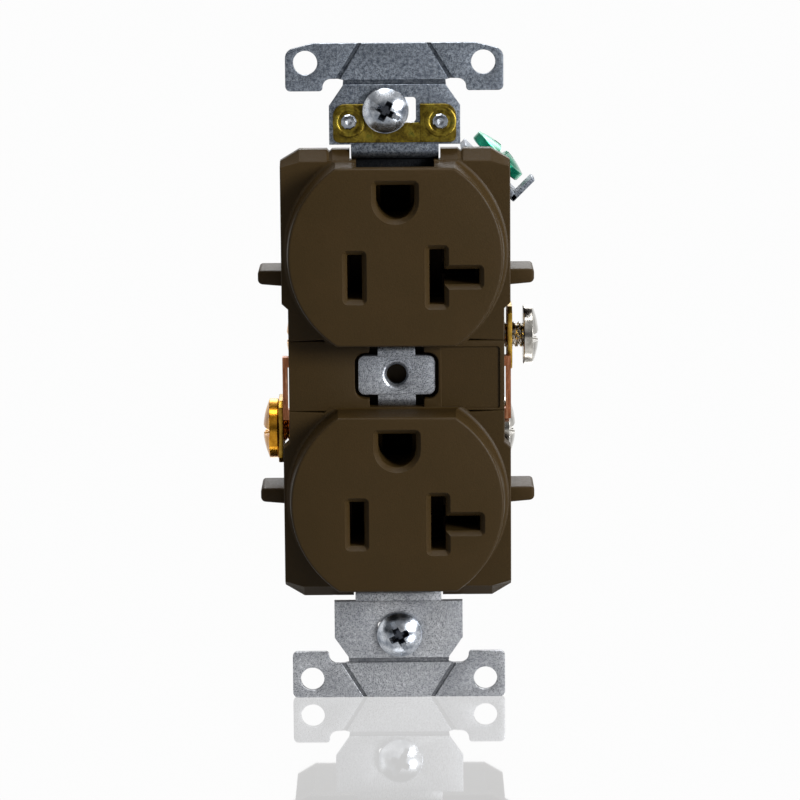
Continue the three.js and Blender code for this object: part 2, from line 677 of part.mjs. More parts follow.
// The upright side of a bus bar, with the break-off fin standing outside the housing between its screws.
function busSide(side) {
  const wide = inOrder(side * (busOuter - bus.thickness), side * busOuter);
  const low = bladeZ('lower') - jaw.halfHeight;
  const high = bladeZ('upper') + jaw.halfHeight;
  const finFront = parting + fin.front;
  const finLow = terminalMiddle - fin.halfHeight;
  const finHigh = terminalMiddle + fin.halfHeight;
  const parts = [
    block(...wide, busFront, busBack, low, high),
    block(...wide, finFront, busFront + lap, finLow, finHigh),
    block(...inOrder(side * (finOuter - fin.thickness), side * finOuter), finFront, finBack, finLow, finHigh),
  ];
  const bridge = inOrder(side * (busOuter - bus.thickness), side * finOuter);
  for (const [z0, z1] of [[finLow, finLow + fin.bridge], [finHigh - fin.bridge, finHigh]]) {
    parts.push(block(...bridge, finFront, finBack, z0, z1));
  }
  return parts;
}

function busHoles(side) {
  return [1, -1].map((up) => {
    const ends = inOrder(side * (busOuter - bus.thickness - beyond), side * (busOuter + beyond));
    return rodX(bus.hole, terminalDepth, terminalZ(up), ...ends);
  });
}

function neutralBus() {
  const back = busBack;
  const parts = busSide(1);
  for (const name of outlets) {
    const z = bladeZ(name);
    const grip = jaw.grip - neutralSlot.width / 2;
    const walls = cut(slab(neutralSlotOutline(z, grip + jaw.thickness), jawFront, back),
      slab(neutralSlotOutline(z, grip), jawFront - beyond, back - bus.thickness));
    const slitBack = back - jaw.slitStop;
    parts.push(cut(walls, block(0, bladeHalfPitch, jawFront - beyond, slitBack, z - jaw.slit, z + jaw.slit)));
    parts.push(block(bladeHalfPitch, busOuter, back - bus.thickness, back,
      z - jaw.halfHeight, z + jaw.halfHeight));
  }
  return cut(joined(...parts), ...busHoles(1));
}

function groundContact(name) {
  const z = groundZ(name);
  const { halfGap, thickness, base, halfWidth, halfHeight, depth } = groundJaw;
  const { footHalf, top, bottom, radius, rim } = groundJaw;
  const foot = rivetZ(name) - contactRivet.head;
  const parts = [
    slab(rectangle(-halfWidth, halfWidth, z - bottom, z + top, radius), parting, parting + base),
    slab(rectangle(-footHalf, footHalf, foot, z, radius), parting, parting + base),
  ];
  for (const side of [-1, 1]) {
    const ends = inOrder(side * halfGap, side * (halfGap + thickness));
    parts.push(block(...ends, parting, parting + depth, z - halfHeight, z + halfHeight));
  }
  const back = parting + base + beyond;
  return cut(joined(...parts),
    slab(rectangle(-halfGap, halfGap, z - bottom + rim.below, z + top - rim.above), parting - beyond, back),
    rodY(contactRivet.hole, 0, rivetZ(name), parting - beyond, back, 12));
}

function contactRivetSolid(name) {
  const z = rivetZ(name);
  const { head, proud, front, shank } = contactRivet;
  const back = parting + groundJaw.base;
  return joined(
    rodY(shank, 0, z, strapInside - front / 2, back + proud / 2, 12),
    rodY(head, 0, z, back, back + proud, 12),
    rodY(head, 0, z, strapInside - front, strapInside, 12));
}

function pressurePlate({ side, up, plateLift }) {
  const inner = busOuter + plateLift;
  const ends = inOrder(side * inner, side * (inner + plate.thickness));
  const z = terminalZ(up);
  const y = terminalDepth;
  const { halfHeight: h, corner: c } = plate;
  const w = terminalScrew.head - plate.narrower;
  const corners = [
    [y - w, z - h + c], [y - w + c, z - h], [y + w - c, z - h], [y + w, z - h + c],
    [y + w, z + h - c], [y + w - c, z + h], [y - w + c, z + h], [y - w, z + h - c],
  ];
  return cut(across(corners, ...ends), rodX(plate.hole, y, z, ends[0] - beyond, ends[1] + beyond));
}

function terminalScrewSolid({ side, up, backedOut }) {
  const point = new THREE.Vector3(side * (seatedUnderside + backedOut), terminalDepth, terminalZ(up));
  return placedScrew(terminalScrew, point, axisX.clone().multiplyScalar(side));
}

// ---------------------------------------------------------------- ends

function groundingClip() {
  const back = -strapThickness;
  const half = widePart.half - clip.inset;
  const bottom = wideFoot + clip.rise;
  const top = wideFoot + widePart.height + clip.rise;
  const bridge = bottom + clip.bridge;
  const leftLobe = -clip.lobeInner - clip.wideLobe;
  const shape = outline([
    [-half, bottom, clip.footRadius], [half, bottom, clip.footRadius], [half, top, clip.corner],
    [clip.lobeInner, top], [clip.lobeInner, bridge], [leftLobe, bridge], [leftLobe, top],
    [-half, top, clip.corner],
  ]);
  const front = back - clip.thickness - beyond;
  const holes = [-1, 1].map((side) => rodY(clipRivet.hole, side * clipRivet.x, clipRivetZ, front, 0, 12));
  return cut(slab(shape, back - clip.thickness, back), ...holes);
}

function clipRivetSolid(side) {
  const x = side * clipRivet.x;
  const front = -strapThickness - clip.thickness;
  const z = clipRivetZ;
  const { head, proud, shank } = clipRivet;
  return joined(rodY(shank, x, z, front - proud / 2, proud / 2, 12),
    rodY(head, x, z, front - proud, front), rodY(head, x, z, 0, proud));
}

function mountingScrewSolid(up) {
  const x = up > 0 ? mountingShift.upper : mountingShift.lower;
  const seat = -strapThickness - (up > 0 ? clip.thickness : 0) - mountingLift;
  return placedScrew(mountingScrew, new THREE.Vector3(x, seat, up * mountingZ), axisY.clone().negate());
}

function screwRetainer(up) {
  const x = up > 0 ? mountingShift.upper : mountingShift.lower;
  const z = up * mountingZ;
  const { halfWidth: w, halfHeight: h, thickness, radius, gap, hole } = retainer;
  return cut(slab(rectangle(x - w, x + w, z - h, z + h, radius), gap, gap + thickness),
    rodY(hole, x, z, gap - beyond, gap + thickness + beyond));
}

function assemblyScrewSolid([x, z]) {
  const seat = bodyBack - assemblyScrew.thick - running + assemblyBoss.thread;
  return placedScrew(assemblyScrew, new THREE.Vector3(x, seat, z), axisY);
}

// ---------------------------------------------------------------- finishes and assembly

const finishes = {
  moulding: { color: 0x3b3020, roughness: 0.5, metalness: 0 },
  zinc: { color: 0x8e949c, roughness: 0.45, metalness: 0.9 },
  chromate: { color: 0x8a7420, roughness: 0.4, metalness: 0.8 },
  brass: { color: 0xc79a3a, roughness: 0.3, metalness: 1 },
  copper: { color: 0xb87850, roughness: 0.35, metalness: 1 },
  silver: { color: 0xc2bfb8, roughness: 0.3, metalness: 1 },
  green: { color: 0x18a47c, roughness: 0.35, metalness: 0.5 },
  fibre: { color: 0x2c2c2e, roughness: 0.8, metalness: 0 },
};

const outlet = new THREE.Group();

function place(name, piece, finish) {
  const { numProp, vertProperties, triVerts } = piece.getMesh();
  const positions = new Float32Array(vertProperties.length / numProp * 3);
  for (let i = 0; i < positions.length; i += 1) {
    positions[i] = vertProperties[Math.floor(i / 3) * numProp + i % 3];
  }
  const geometry = new THREE.BufferGeometry();
  geometry.setAttribute('position', new THREE.BufferAttribute(positions, 3));
  geometry.setIndex(new THREE.BufferAttribute(new Uint32Array(triVerts), 1));
  geometry.computeVertexNormals();
  const mesh = new THREE.Mesh(geometry, new THREE.MeshStandardMaterial(finishes[finish]));
  mesh.name = name;
  outlet.add(mesh);
}

place('face_cover', faceCover(), 'moulding');
place('back_body', backBody(), 'moulding');
place('mounting_strap', mountingStrap(), 'zinc');
place('hot_bus', hotBus(), 'copper');
place('neutral_bus', neutralBus(), 'copper');
for (const name of outlets) {
  place(`ground_contact_${name}`, groundContact(name), 'brass');
  place(`ground_contact_rivet_${name}`, contactRivetSolid(name), 'zinc');
}
for (const terminal of terminals) {
  place(`pressure_plate_${terminal.name}`, pressurePlate(terminal), 'brass');
  place(`terminal_screw_${terminal.name}`, terminalScrewSolid(terminal), terminal.finish);
}
place('ground_screw', groundScrewSolid(), 'green');
place('grounding_clip', groundingClip(), 'chromate');
place('clip_rivet_left', clipRivetSolid(-1), 'zinc');
place('clip_rivet_right', clipRivetSolid(1), 'zinc');
for (const [name, up] of [['upper', 1], ['lower', -1]]) {
  place(`mounting_screw_${name}`, mountingScrewSolid(up), 'silver');
  place(`screw_retainer_${name}`, screwRetainer(up), 'fibre');
}
assemblyAt.forEach((at, i) => place(`assembly_screw_${i + 1}`, assemblyScrewSolid(at), 'zinc'));

export default outlet;
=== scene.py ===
import math

import bpy
import numpy as np
from mathutils import Matrix, Vector
from mathutils.geometry import delaunay_2d_cdt


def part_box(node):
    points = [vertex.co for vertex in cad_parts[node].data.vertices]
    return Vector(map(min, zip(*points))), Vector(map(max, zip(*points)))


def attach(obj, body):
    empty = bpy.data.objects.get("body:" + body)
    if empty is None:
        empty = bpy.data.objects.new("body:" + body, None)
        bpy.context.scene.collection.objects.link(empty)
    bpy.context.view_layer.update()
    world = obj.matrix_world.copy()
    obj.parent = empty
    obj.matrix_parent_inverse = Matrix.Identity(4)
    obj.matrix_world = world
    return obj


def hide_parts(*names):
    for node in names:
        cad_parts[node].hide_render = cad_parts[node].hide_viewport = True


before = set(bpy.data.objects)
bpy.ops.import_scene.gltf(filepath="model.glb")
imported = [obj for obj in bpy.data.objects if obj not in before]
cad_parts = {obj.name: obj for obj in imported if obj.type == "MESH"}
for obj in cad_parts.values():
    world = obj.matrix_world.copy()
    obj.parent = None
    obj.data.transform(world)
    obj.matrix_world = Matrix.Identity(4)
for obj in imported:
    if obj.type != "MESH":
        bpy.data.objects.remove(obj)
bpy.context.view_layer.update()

# ---------------------------------------------------------------- sizes, in millimetres

MM = 0.001


def span(node):
    """A CAD node's lowest and highest corner, in millimetres."""
    low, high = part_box(node)
    return np.array(low) / MM, np.array(high) / MM


COVER_LOW, COVER_HIGH = span("face_cover")
BODY_LOW, BODY_HIGH = span("back_body")
STRAP_LOW, STRAP_HIGH = span("mounting_strap")

HALF_WIDTH, PARTING, HALF_HEIGHT = COVER_HIGH
FACE = COVER_LOW[1]
BODY_BACK, BODY_BOTTOM = BODY_HIGH[1], BODY_LOW[2]
BODY_TOP = BODY_HIGH[2]
STRAP_THICK = -STRAP_LOW[1]
STRAP_END = STRAP_HIGH[2]

SHOULDER = -1.9                 # the housing's lower front level
OUTLET_PITCH = 38.9
FACE_RADIUS = HALF_WIDTH - 1.2
FACE_FLAT = 13.9                # face centre to its flat top and bottom
FACE_EDGE = 0.45
BLADE_X, BLADE_DROP, GROUND_RISE = 6.35, 3.05, 11.9
SLOT_CHAMFER = 0.75
SLOT_HALF = 1.15                # half the width of a blade slot
WAIST = HALF_WIDTH - 0.98
TERMINAL_MIDDLE, TERMINAL_PITCH = -2.7, 7.44
WAIST_HIGH, WAIST_STEP = 10.6, 0.9
CORNER_ACROSS, CORNER_DOWN = 3.0, 1.8
END_BEVEL = 1.7
NOTCH_HALF = 7.05               # opening for the strap's neck
PAD_HALF, PAD_TALL, PAD_CORNER, PAD_NECK = 6.05, 3.15, 1.1, 2.96
WINDOW_GAP, NECK_GAP = 0.5, 1.3
SCORE_DEPTH = 0.32              # score lines that let the ears be broken off
COVER_BACK = 0.8                # the cover's inner level, in front of the strap
INNER_LEVEL = PARTING - STRAP_THICK
RECESS_X, RECESS_HALF, RECESS_FLOOR = 13.0, 15.5, 15.0
BODY_WIDE = HALF_WIDTH - 0.85
WIDE_FOOT = HALF_HEIGHT + 0.8   # where the strap widens beyond the housing
MOUNTING_Z = WIDE_FOOT + 5.37
NECK_HALF, WIDE_HALF, WAIST_HALF = 6.8, 10.15, 8.0      # the strap from its neck outwards
NOTCH_X = 11.1                  # the inner edge of an ear
EAR_HALF, EAR_RISE = 16.85, 2.93
EAR_HOLE_X, EAR_HOLE_RISE, EAR_HOLE_RADIUS = 13.74, 7.33, 1.87
CLIP_THICK = 0.5
RIVET_X = 7.08
THREAD_PITCH = 0.8
MOUNTING_HEAD = 3.58            # a mounting screw's head radius
TAB = np.array([HALF_WIDTH - 3.45, 0.0, HALF_HEIGHT - 4.0])
OUTLETS = {"upper": OUTLET_PITCH / 2, "lower": -OUTLET_PITCH / 2}

# ---------------------------------------------------------------- flat outlines


def corners(points, steps=7):
    """A closed outline through corners (x, z, radius). A rounded corner is an arc of equal turns that touches
    both its sides, a distance radius / tan(half the corner's angle) from the corner."""
    loop = []
    for i, point in enumerate(points):
        here = np.array(point[:2], float)
        radius = point[2] if len(point) > 2 else 0
        if radius == 0:
            loop.append(here[None])
            continue
        before = np.array(points[i - 1][:2]) - here
        after = np.array(points[(i + 1) % len(points)][:2]) - here
        before, after = before / np.linalg.norm(before), after / np.linalg.norm(after)
        half = math.acos(np.clip(before @ after, -1, 1)) / 2
        middle = here + (before + after) / np.linalg.norm(before + after) * radius / math.sin(half)
        start = here + before * radius / math.tan(half) - middle
        turn = math.pi - 2 * half
        turn *= np.sign(after[0] * before[1] - after[1] * before[0])
        angle = turn * np.linspace(0, 1, steps + 1)
        loop.append(middle + np.stack([start[0] * np.cos(angle) - start[1] * np.sin(angle),
                                       start[0] * np.sin(angle) + start[1] * np.cos(angle)], 1))
    loop = np.concatenate(loop)
    return loop[np.linalg.norm(loop - np.roll(loop, 1, 0), axis=1) > 1e-6]


def rectangle(x0, x1, z0, z1, radius=0.0, steps=7):
    return corners([(x0, z0, radius), (x1, z0, radius), (x1, z1, radius), (x0, z1, radius)], steps)


def circle(x, z, radius, count=48):
    angle = 2 * math.pi * np.arange(count) / count
    return np.stack([x + radius * np.cos(angle), z + radius * np.sin(angle)], 1)


def mirrored(loop):
    """The outline on the other side of the centre line, running the same way round."""
    return (loop * (-1, 1))[::-1]


def flipped(loop):
    """The outline upside down, running the same way round."""
    return (loop * (1, -1))[::-1]


def placed(loop, side, up=1):
    """A right-hand, upper outline moved to the given side of the middle and the given end."""
    if side < 0:
        loop = mirrored(loop)
    return loop if up > 0 else flipped(loop)


def grow(loop, amount):
    """Each side of an anticlockwise outline moved outward by its own amount; a point goes where its two moved
    sides cross, which is the sum of the sides' normals weighted by (a - c b) / (1 - c squared)."""
    amount = np.broadcast_to(np.asarray(amount, float), len(loop))
    side = np.roll(loop, -1, 0) - loop
    normal = np.stack([side[:, 1], -side[:, 0]], 1) / np.linalg.norm(side, axis=1)[:, None]
    first, second = np.roll(normal, 1, 0), normal
    a, b = np.roll(amount, 1), amount
    c = (first * second).sum(1)
    bend = 1 - c * c
    safe = np.where(bend < 1e-7, 1, bend)
    moved = ((a - c * b) / safe)[:, None] * first + ((b - c * a) / safe)[:, None] * second
    straight = first * ((a + b) / 2)[:, None]
    return loop + np.where((bend < 1e-7)[:, None], straight, moved)


# ---------------------------------------------------------------- closed shells: (points, faces)


def volume(points, faces):
    """Six times the enclosed volume, as the sum over triangles of the product of their corners."""
    total = 0.0
    for array in faces:
        for i in range(1, array.shape[1] - 1):
            p, q, r = points[array[:, 0]], points[array[:, i]], points[array[:, i + 1]]
            total += np.einsum("ij,ij->", p, np.cross(q, r))
    return total


def shell(points, faces):
    """Closes a shell's book: its faces are turned round if they point inwards."""
    faces = [np.asarray(array) for array in faces if len(array)]
    if volume(points - points.mean(0), faces) < 0:
        faces = [array[:, ::-1] for array in faces]
    return points, [face for array in faces for face in array.tolist()]


def strip(rows, count, start=0):
    """Quads between neighbouring rows of a grid whose rows are closed rings."""
    row, column = np.meshgrid(np.arange(rows - 1), np.arange(count), indexing="ij")
    after = (column + 1) % count
    quads = np.stack([row * count + column, (row + 1) * count + column,
                      (row + 1) * count + after, row * count + after], -1)
    return quads.reshape(-1, 4) + start


def within(spots, loop):
    """Whether each spot is inside an outline: a level line from it crosses the outline an odd number of
    times."""
    a, b = loop, np.roll(loop, -1, 0)
    x, z = spots[:, 0, None], spots[:, 1, None]
    spans = (a[:, 1] > z) != (b[:, 1] > z)
    rise = np.where(b[:, 1] == a[:, 1], 1, b[:, 1] - a[:, 1])
    crossing = a[:, 0] + (z - a[:, 1]) * (b[:, 0] - a[:, 0]) / rise
    return (spans & (crossing > x)).sum(1) % 2 == 1


def fill(loops):
    """Triangles inside the first outline and outside the rest, by the numbers of the outlines' own points."""
    points = np.concatenate(loops)
    edges, start = [], 0
    for loop in loops:
        number = np.arange(len(loop))
        edges.append(np.stack([number, (number + 1) % len(loop)], 1) + start)
        start += len(loop)
    found = delaunay_2d_cdt([Vector(p) for p in points.tolist()], np.concatenate(edges).tolist(), [], 1, 1e-9)
    if any(len(o) == 0 for o in found[3]):
        raise ValueError("two outlines of one flat face cross")
    triangles = np.array([o[0] for o in found[3]])[np.array(found[2])]
    spots = points[triangles].mean(1)
    keep = within(spots, loops[0])
    for loop in loops[1:]:
        keep &= ~within(spots, loop)
    return triangles[keep]


def ring(loop, depth):
    return np.stack([loop[:, 0], np.full(len(loop), float(depth)), loop[:, 1]], 1)


def solid(sides, pockets=()):
    """A closed shell from stacks of rings, each from the front face to the back. The first stack is the
    outside and the rest are holes right through. Pockets are stacks that end in a floor."""
    points, faces, start = [], [], 0
    fronts, backs = [], []
    for rings in [*sides, *pockets]:
        count = len(rings[0])
        quads = strip(len(rings), count, start)
        faces.append(quads if not fronts else quads[:, ::-1])
        fronts.append(start + np.arange(count))
        backs.append(start + (len(rings) - 1) * count + np.arange(count))
        points.extend(rings)
        start += count * len(rings)
    stacks = [*sides, *pockets]
    flat = [rings[0][:, [0, 2]] for rings in stacks]
    faces.append(np.concatenate(fronts)[fill(flat)])
    rear = [rings[-1][:, [0, 2]] for rings in sides]
    faces.append(np.concatenate(backs[:len(sides)])[fill(rear)][:, ::-1])
    for rings, floor in zip(pockets, backs[len(sides):]):
        faces.append(floor[fill([rings[-1][:, [0, 2]]])])
    return shell(np.concatenate(points), faces)


def eased(front, back, front_edge=0.12, back_edge=0.12, steps=3):
    """Depths and insets of a wall whose two edges are quarter rounds."""
    turn = np.linspace(0, math.pi / 2, steps + 1)
    levels = [(front, 0.0)] if front_edge == 0 else [
        (front + front_edge * (1 - math.cos(a)), front_edge * (1 - math.sin(a))) for a in turn]
    tail = [(back, 0.0)] if back_edge == 0 else [
        (back - back_edge * (1 - math.cos(a)), back_edge * (1 - math.sin(a))) for a in turn[::-1]]
    return levels + tail


def plate(outer, holes=(), front=0.0, back=1.0, edge=0.12, front_edge=None, back_edge=None):
    """A flat outline with holes given thickness, with rounded edges."""
    levels = eased(front, back, edge if front_edge is None else front_edge,
                   edge if back_edge is None else back_edge)
    sides = [[ring(grow(outer, -inset), depth) for depth, inset in levels]]
    sides += [[ring(grow(hole, inset), depth) for depth, inset in levels] for hole in holes]
    return solid(sides)


def capped(rings):
    """A closed shell through rings of equal length, its two ends closed by fans about their middles."""
    rings = np.asarray(rings)
    rows, count = rings.shape[:2]
    points = np.concatenate([rings.reshape(-1, 3), rings[0].mean(0)[None], rings[-1].mean(0)[None]])
    number = np.arange(count)
    after = (number + 1) % count
    first = np.stack([np.full(count, rows * count), number, after], 1)
    end = (rows - 1) * count
    last = np.stack([np.full(count, rows * count + 1), after + end, number + end], 1)
    return shell(points, [strip(rows, count), first, last])


def frame_of(axis):
    """Three directions at right angles, the first along the axis."""
    axis = np.array(axis, float) / np.linalg.norm(axis)
    helper = np.array([0, 0, 1.0]) if abs(axis[2]) < 0.8 else np.array([1.0, 0, 0])
    side = np.cross(axis, helper)
    side /= np.linalg.norm(side)
    return axis, side, np.cross(axis, side)


def turned(profile, centre, axis, count=64, start=0.0):
    """A profile of (radius, height) turned about an axis: at angle a a point stands radius times cos a to one
    side, radius times sin a to the other, and its height along the axis."""
    along, side, other = frame_of(axis)
    radius, height = np.array(profile, float).T
    angle = start + 2 * math.pi * np.arange(count) / count
    around = np.cos(angle)[:, None] * side + np.sin(angle)[:, None] * other
    return capped(np.asarray(centre) + height[:, None, None] * along + radius[:, None, None] * around)


def threaded(root, crest, low, high, centre, axis, count=40):
    """A screw thread: at height h and angle a the radius is the root plus a wave of h / pitch less a / a
    turn, which rises and falls evenly between flat roots and crests. The low end tapers."""
    steps, taper = 8, 1.2
    along, side, other = frame_of(axis)
    height = np.arange(low, high, THREAD_PITCH / steps)
    angle = 2 * math.pi * np.arange(count) / count
    phase = (height[:, None] / THREAD_PITCH - angle / (2 * math.pi)) % 1
    wave = np.clip(1.35 * (1 - np.abs(2 * phase - 1)) - 0.15, 0, 1)
    fade = np.clip((height - low) / taper, 0, 1)[:, None]
    radius = (root + (crest - root) * wave) * (0.62 + 0.38 * fade)
    around = np.cos(angle)[:, None] * side + np.sin(angle)[:, None] * other
    return capped(np.asarray(centre) + height[:, None, None] * along + radius[..., None] * around)


def carried(section, path, normals):
    """A section of (across, out) carried along a path of (depth, height) points: across stays level and out
    follows the path's normals."""
    path, normals = np.asarray(path, float), np.asarray(normals, float)
    across = np.broadcast_to(section[:, 0], (len(path), len(section)))
    place = path[:, None] + section[None, :, 1, None] * normals[:, None]
    return capped(np.stack([across, place[..., 0], place[..., 1]], -1))


def moved(shape, origin, right, ahead, up):
    """A shell drawn in the front view, put in place: its x goes right, its depth ahead and its z up."""
    points, faces = shape
    basis = np.array([right, ahead, up], float)
    basis /= np.linalg.norm(basis, axis=1)[:, None]
    return points @ basis + np.asarray(origin, float), faces


def block(x0, x1, y0, y1, z0, z1, edge=0.12):
    return plate(rectangle(x0, x1, z0, z1), (), y0, y1, edge)


def merged(shells):
    points, faces, start = [], [], 0
    for p, f in shells:
        points.append(p)
        faces.extend([[i + start for i in face] for face in f])
        start += len(p)
    return np.concatenate(points), faces


def bare_object(name, shells):
    points, faces = merged(shells)
    mesh = bpy.data.meshes.new(name)
    mesh.from_pydata((points * MM).tolist(), [], faces)
    mesh.update()
    made = bpy.data.objects.new(name, mesh)
    bpy.context.scene.collection.objects.link(made)
    return made


def carved(shape, *cutters):
    """A shell with other shells taken out of it."""
    made = bare_object("carving", [shape])
    tools = [bare_object("cutter", [cutter]) for cutter in cutters]
    for tool in tools:
        taking = made.modifiers.new("cut", "BOOLEAN")
        taking.operation, taking.solver, taking.object = "DIFFERENCE", "EXACT", tool
    mesh = made.evaluated_get(bpy.context.evaluated_depsgraph_get()).to_mesh()
    points = np.empty(len(mesh.vertices) * 3)
    mesh.vertices.foreach_get("co", points)
    faces = [list(face.vertices) for face in mesh.polygons]
    for spare in [made, *tools]:
        bpy.data.objects.remove(spare)
    return points.reshape(-1, 3) / MM, faces


def piece(name, shells, finish, body="outlet", stands_for=(), smooth=17):
    """One visible piece: its shells in one mesh, smooth where neighbouring faces turn less than the angle."""
    made = bare_object(name, shells)
    mesh = made.data
    mesh.polygons.foreach_set("use_smooth", np.ones(len(mesh.polygons), bool))
    mesh.set_sharp_from_angle(angle=math.radians(smooth))
    mesh.materials.append(finish)
    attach(made, body)
    if stands_for:
        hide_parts(*stands_for)


# ---------------------------------------------------------------- finishes


class Value:
    """A shader socket that takes part in ordinary arithmetic."""

    def __init__(self, maker, socket):
        self.maker, self.socket = maker, socket

    def _math(self, operation, first, second):
        return self.maker.node("Math", {"operation": operation}, {0: first, 1: second})

    def __add__(self, other):
        return self._math("ADD", self, other)

    def __mul__(self, other):
        return self._math("MULTIPLY", self, other)

    def __sub__(self, other):
        return self._math("SUBTRACT", self, other)

    def __abs__(self):
        return self.maker.node("Math", {"operation": "ABSOLUTE"}, {0: self})


class Nodes:
    """The nodes of a material or of the world, which read the place of each point."""

    def __init__(self, owner, place):
        owner.use_nodes = True
        self.tree = owner.node_tree
        self.tree.nodes.clear()
        self.place = self.node("TexCoord", output=place)

    def node(self, kind, settings=None, inputs=None, output=0):
        made = self.tree.nodes.new("ShaderNode" + kind)
        for name, value in (settings or {}).items():
            if name == "stops":
                ramp = made.color_ramp
                while len(ramp.elements) < len(value):
                    ramp.elements.new(0.5)
                for element, (position, colour) in zip(ramp.elements, value):
                    element.position, element.color = position, (*colour[:3], 1)
            else:
                setattr(made, name, value)
        for name, value in (inputs or {}).items():
            if isinstance(value, Value):
                self.tree.links.new(value.socket, made.inputs[name])
            else:
                made.inputs[name].default_value = value
        return Value(self, made.outputs[output])

    def axis(self, letter):
        return self.node("SeparateXYZ", {}, {0: self.place}, letter)

    def tint(self, value, stops):
        """A colour that runs evenly between (place, colour) stops."""
        return self.node("ValToRGB", {"stops": stops}, {0: value})

    def ramp(self, value, stops):
        """A grey that runs evenly between (place, level) stops."""
        return self.tint(value, [(place, (level, level, level)) for place, level in stops])

    def output(self, shader, kind="OutputMaterial"):
        made = self.tree.nodes.new("ShaderNode" + kind)
        self.tree.links.new(shader.socket, made.inputs["Surface"])


class Finish(Nodes):
    """One material and the nodes that vary it over a surface."""

    def __init__(self, name):
        self.material = bpy.data.materials.new(name)
        super().__init__(self.material, "Object")

    def noise(self, size, detail, roughness, stretch=None):
        """Clouds whose patches are about size millimetres across, some drawn out along an axis."""
        place = self.place
        if stretch:
            place = self.node("Mapping", {}, {"Vector": place, "Scale": stretch})
        return self.node("TexNoise", {"noise_dimensions": "3D"}, {
            "Vector": place, "Scale": 1 / (size * MM), "Detail": detail, "Roughness": roughness})

    def cells(self, size):
        """Distance to the nearest of scattered points about size millimetres apart."""
        return self.node("TexVoronoi", {"feature": "F1"}, {
            "Vector": self.place, "Scale": 1 / (size * MM)}, "Distance")

    def fade(self, value, start, end, first=0.0, last=1.0):
        """A number that goes from first to last while the value goes from start to end millimetres."""
        return self.node("MapRange", {}, {"Value": value, 1: start * MM, 2: end * MM, 3: first, 4: last})

    def blend(self, share, first, second):
        return self.node("Mix", {"data_type": "RGBA"}, {0: share, 6: first, 7: second}, 2)

    def bump(self, height, distance, strength=1.0, before=None):
        inputs = {"Height": height, "Distance": distance * MM, "Strength": strength}
        if before is not None:
            inputs["Normal"] = before
        return self.node("Bump", {}, inputs)

    def close(self, **inputs):
        names = {"Specular_IOR_Level": "Specular IOR Level", "Base_Color": "Base Color"}
        self.output(self.node("BsdfPrincipled", {}, {names.get(k, k): v for k, v in inputs.items()}))
        return self.material


def rgb(red, green, blue):
    """A colour given as the eye sees it, 0 to 255, as linear light."""
    value = np.array([red, green, blue]) / 255
    return (*np.where(value <= 0.04045, value / 12.92, ((value + 0.055) / 1.055) ** 2.4).tolist(), 1.0)


def brown_moulding():
    make = Finish("brown_moulding")
    grain = make.noise(0.22, 3, 0.6)
    cloud = make.noise(6.0, 3, 0.5)
    speck = make.cells(0.35)
    colour = make.blend(make.ramp(cloud, [(0.3, 0), (0.7, 1)]), rgb(48, 35, 11), rgb(51, 37, 13))
    colour = make.blend(make.ramp(grain, [(0.35, 0.3), (0.65, 0)]), colour, rgb(36, 25, 7))
    rough = make.ramp(grain, [(0.3, 0.42), (0.7, 0.6)])
    fine = make.bump(grain, 0.035, 0.5)
    return make.close(Base_Color=colour, Roughness=rough, Normal=make.bump(speck, 0.02, 0.25, fine),
                      Specular_IOR_Level=0.16)


def zinc_plate():
    make = Finish("zinc_plate")
    spangle = make.noise(0.55, 5, 0.75)
    fine = make.noise(0.16, 2, 0.6)
    cloud = make.noise(9.0, 3, 0.55)
    height = make.axis("Z")
    mottled = make.blend(make.ramp(spangle, [(0.38, 0), (0.6, 1)]), rgb(66, 74, 86), rgb(164, 172, 182))
    plain = make.blend(make.ramp(spangle, [(0.35, 0), (0.65, 1)]), rgb(150, 152, 157), rgb(218, 220, 224))
    # Plain near the foot of the strap and mottled near its top.
    colour = make.blend(make.fade(height, -20, 35), plain, mottled)
    colour = make.blend(make.ramp(cloud, [(0.35, 0.3), (0.65, 0)]), colour, rgb(100, 107, 120))
    colour = make.blend(make.ramp(fine, [(0.36, 0.85), (0.5, 0)]), colour, rgb(40, 45, 54))
    # Painted shade in the score lines of the ears, which lie a little behind the front surface.
    far, depth = abs(height), make.axis("Y")
    far_out = make.fade(far, MOUNTING_Z + 3.4, MOUNTING_Z + 3.6)
    behind = make.fade(depth, SCORE_DEPTH * 0.5 - STRAP_THICK, SCORE_DEPTH * 0.9 - STRAP_THICK)
    colour = make.blend(far_out * behind * 0.6, colour, rgb(30, 34, 42))
    # Inside the housing the strap is in the dark.
    under = make.fade(depth, 0.1, 0.5)
    middle = make.fade(abs(make.axis("X")), 7.4, 7.6, 1.0, 0.0)
    short = make.fade(far, WIDE_FOOT - 1.6, WIDE_FOOT - 1.4, 1.0, 0.0)
    colour = make.blend(under * middle * short * 0.9, colour, rgb(16, 17, 20))
    rough = make.ramp(spangle, [(0.3, 0.5), (0.7, 0.32)])
    return make.close(Base_Color=colour, Metallic=0.9, Roughness=rough,
                      Normal=make.bump(spangle, 0.03, 0.35, make.bump(fine, 0.015, 0.3)))


def chromate():
    make = Finish("yellow_chromate")
    patch = make.noise(1.6, 4, 0.65)
    fine = make.noise(0.25, 3, 0.7)
    shade = make.tint(patch, [(0.28, rgb(44, 38, 6)), (0.45, rgb(92, 76, 16)),
                              (0.58, rgb(124, 108, 34)), (0.74, rgb(76, 84, 28))])
    colour = make.blend(make.ramp(fine, [(0.36, 0.6), (0.5, 0)]), shade, rgb(44, 38, 10))
    rough = make.ramp(patch, [(0.3, 0.28), (0.7, 0.45)])
    return make.close(Base_Color=colour, Metallic=0.85, Roughness=rough,
                      Normal=make.bump(patch, 0.05, 0.4, make.bump(fine, 0.02, 0.4)))


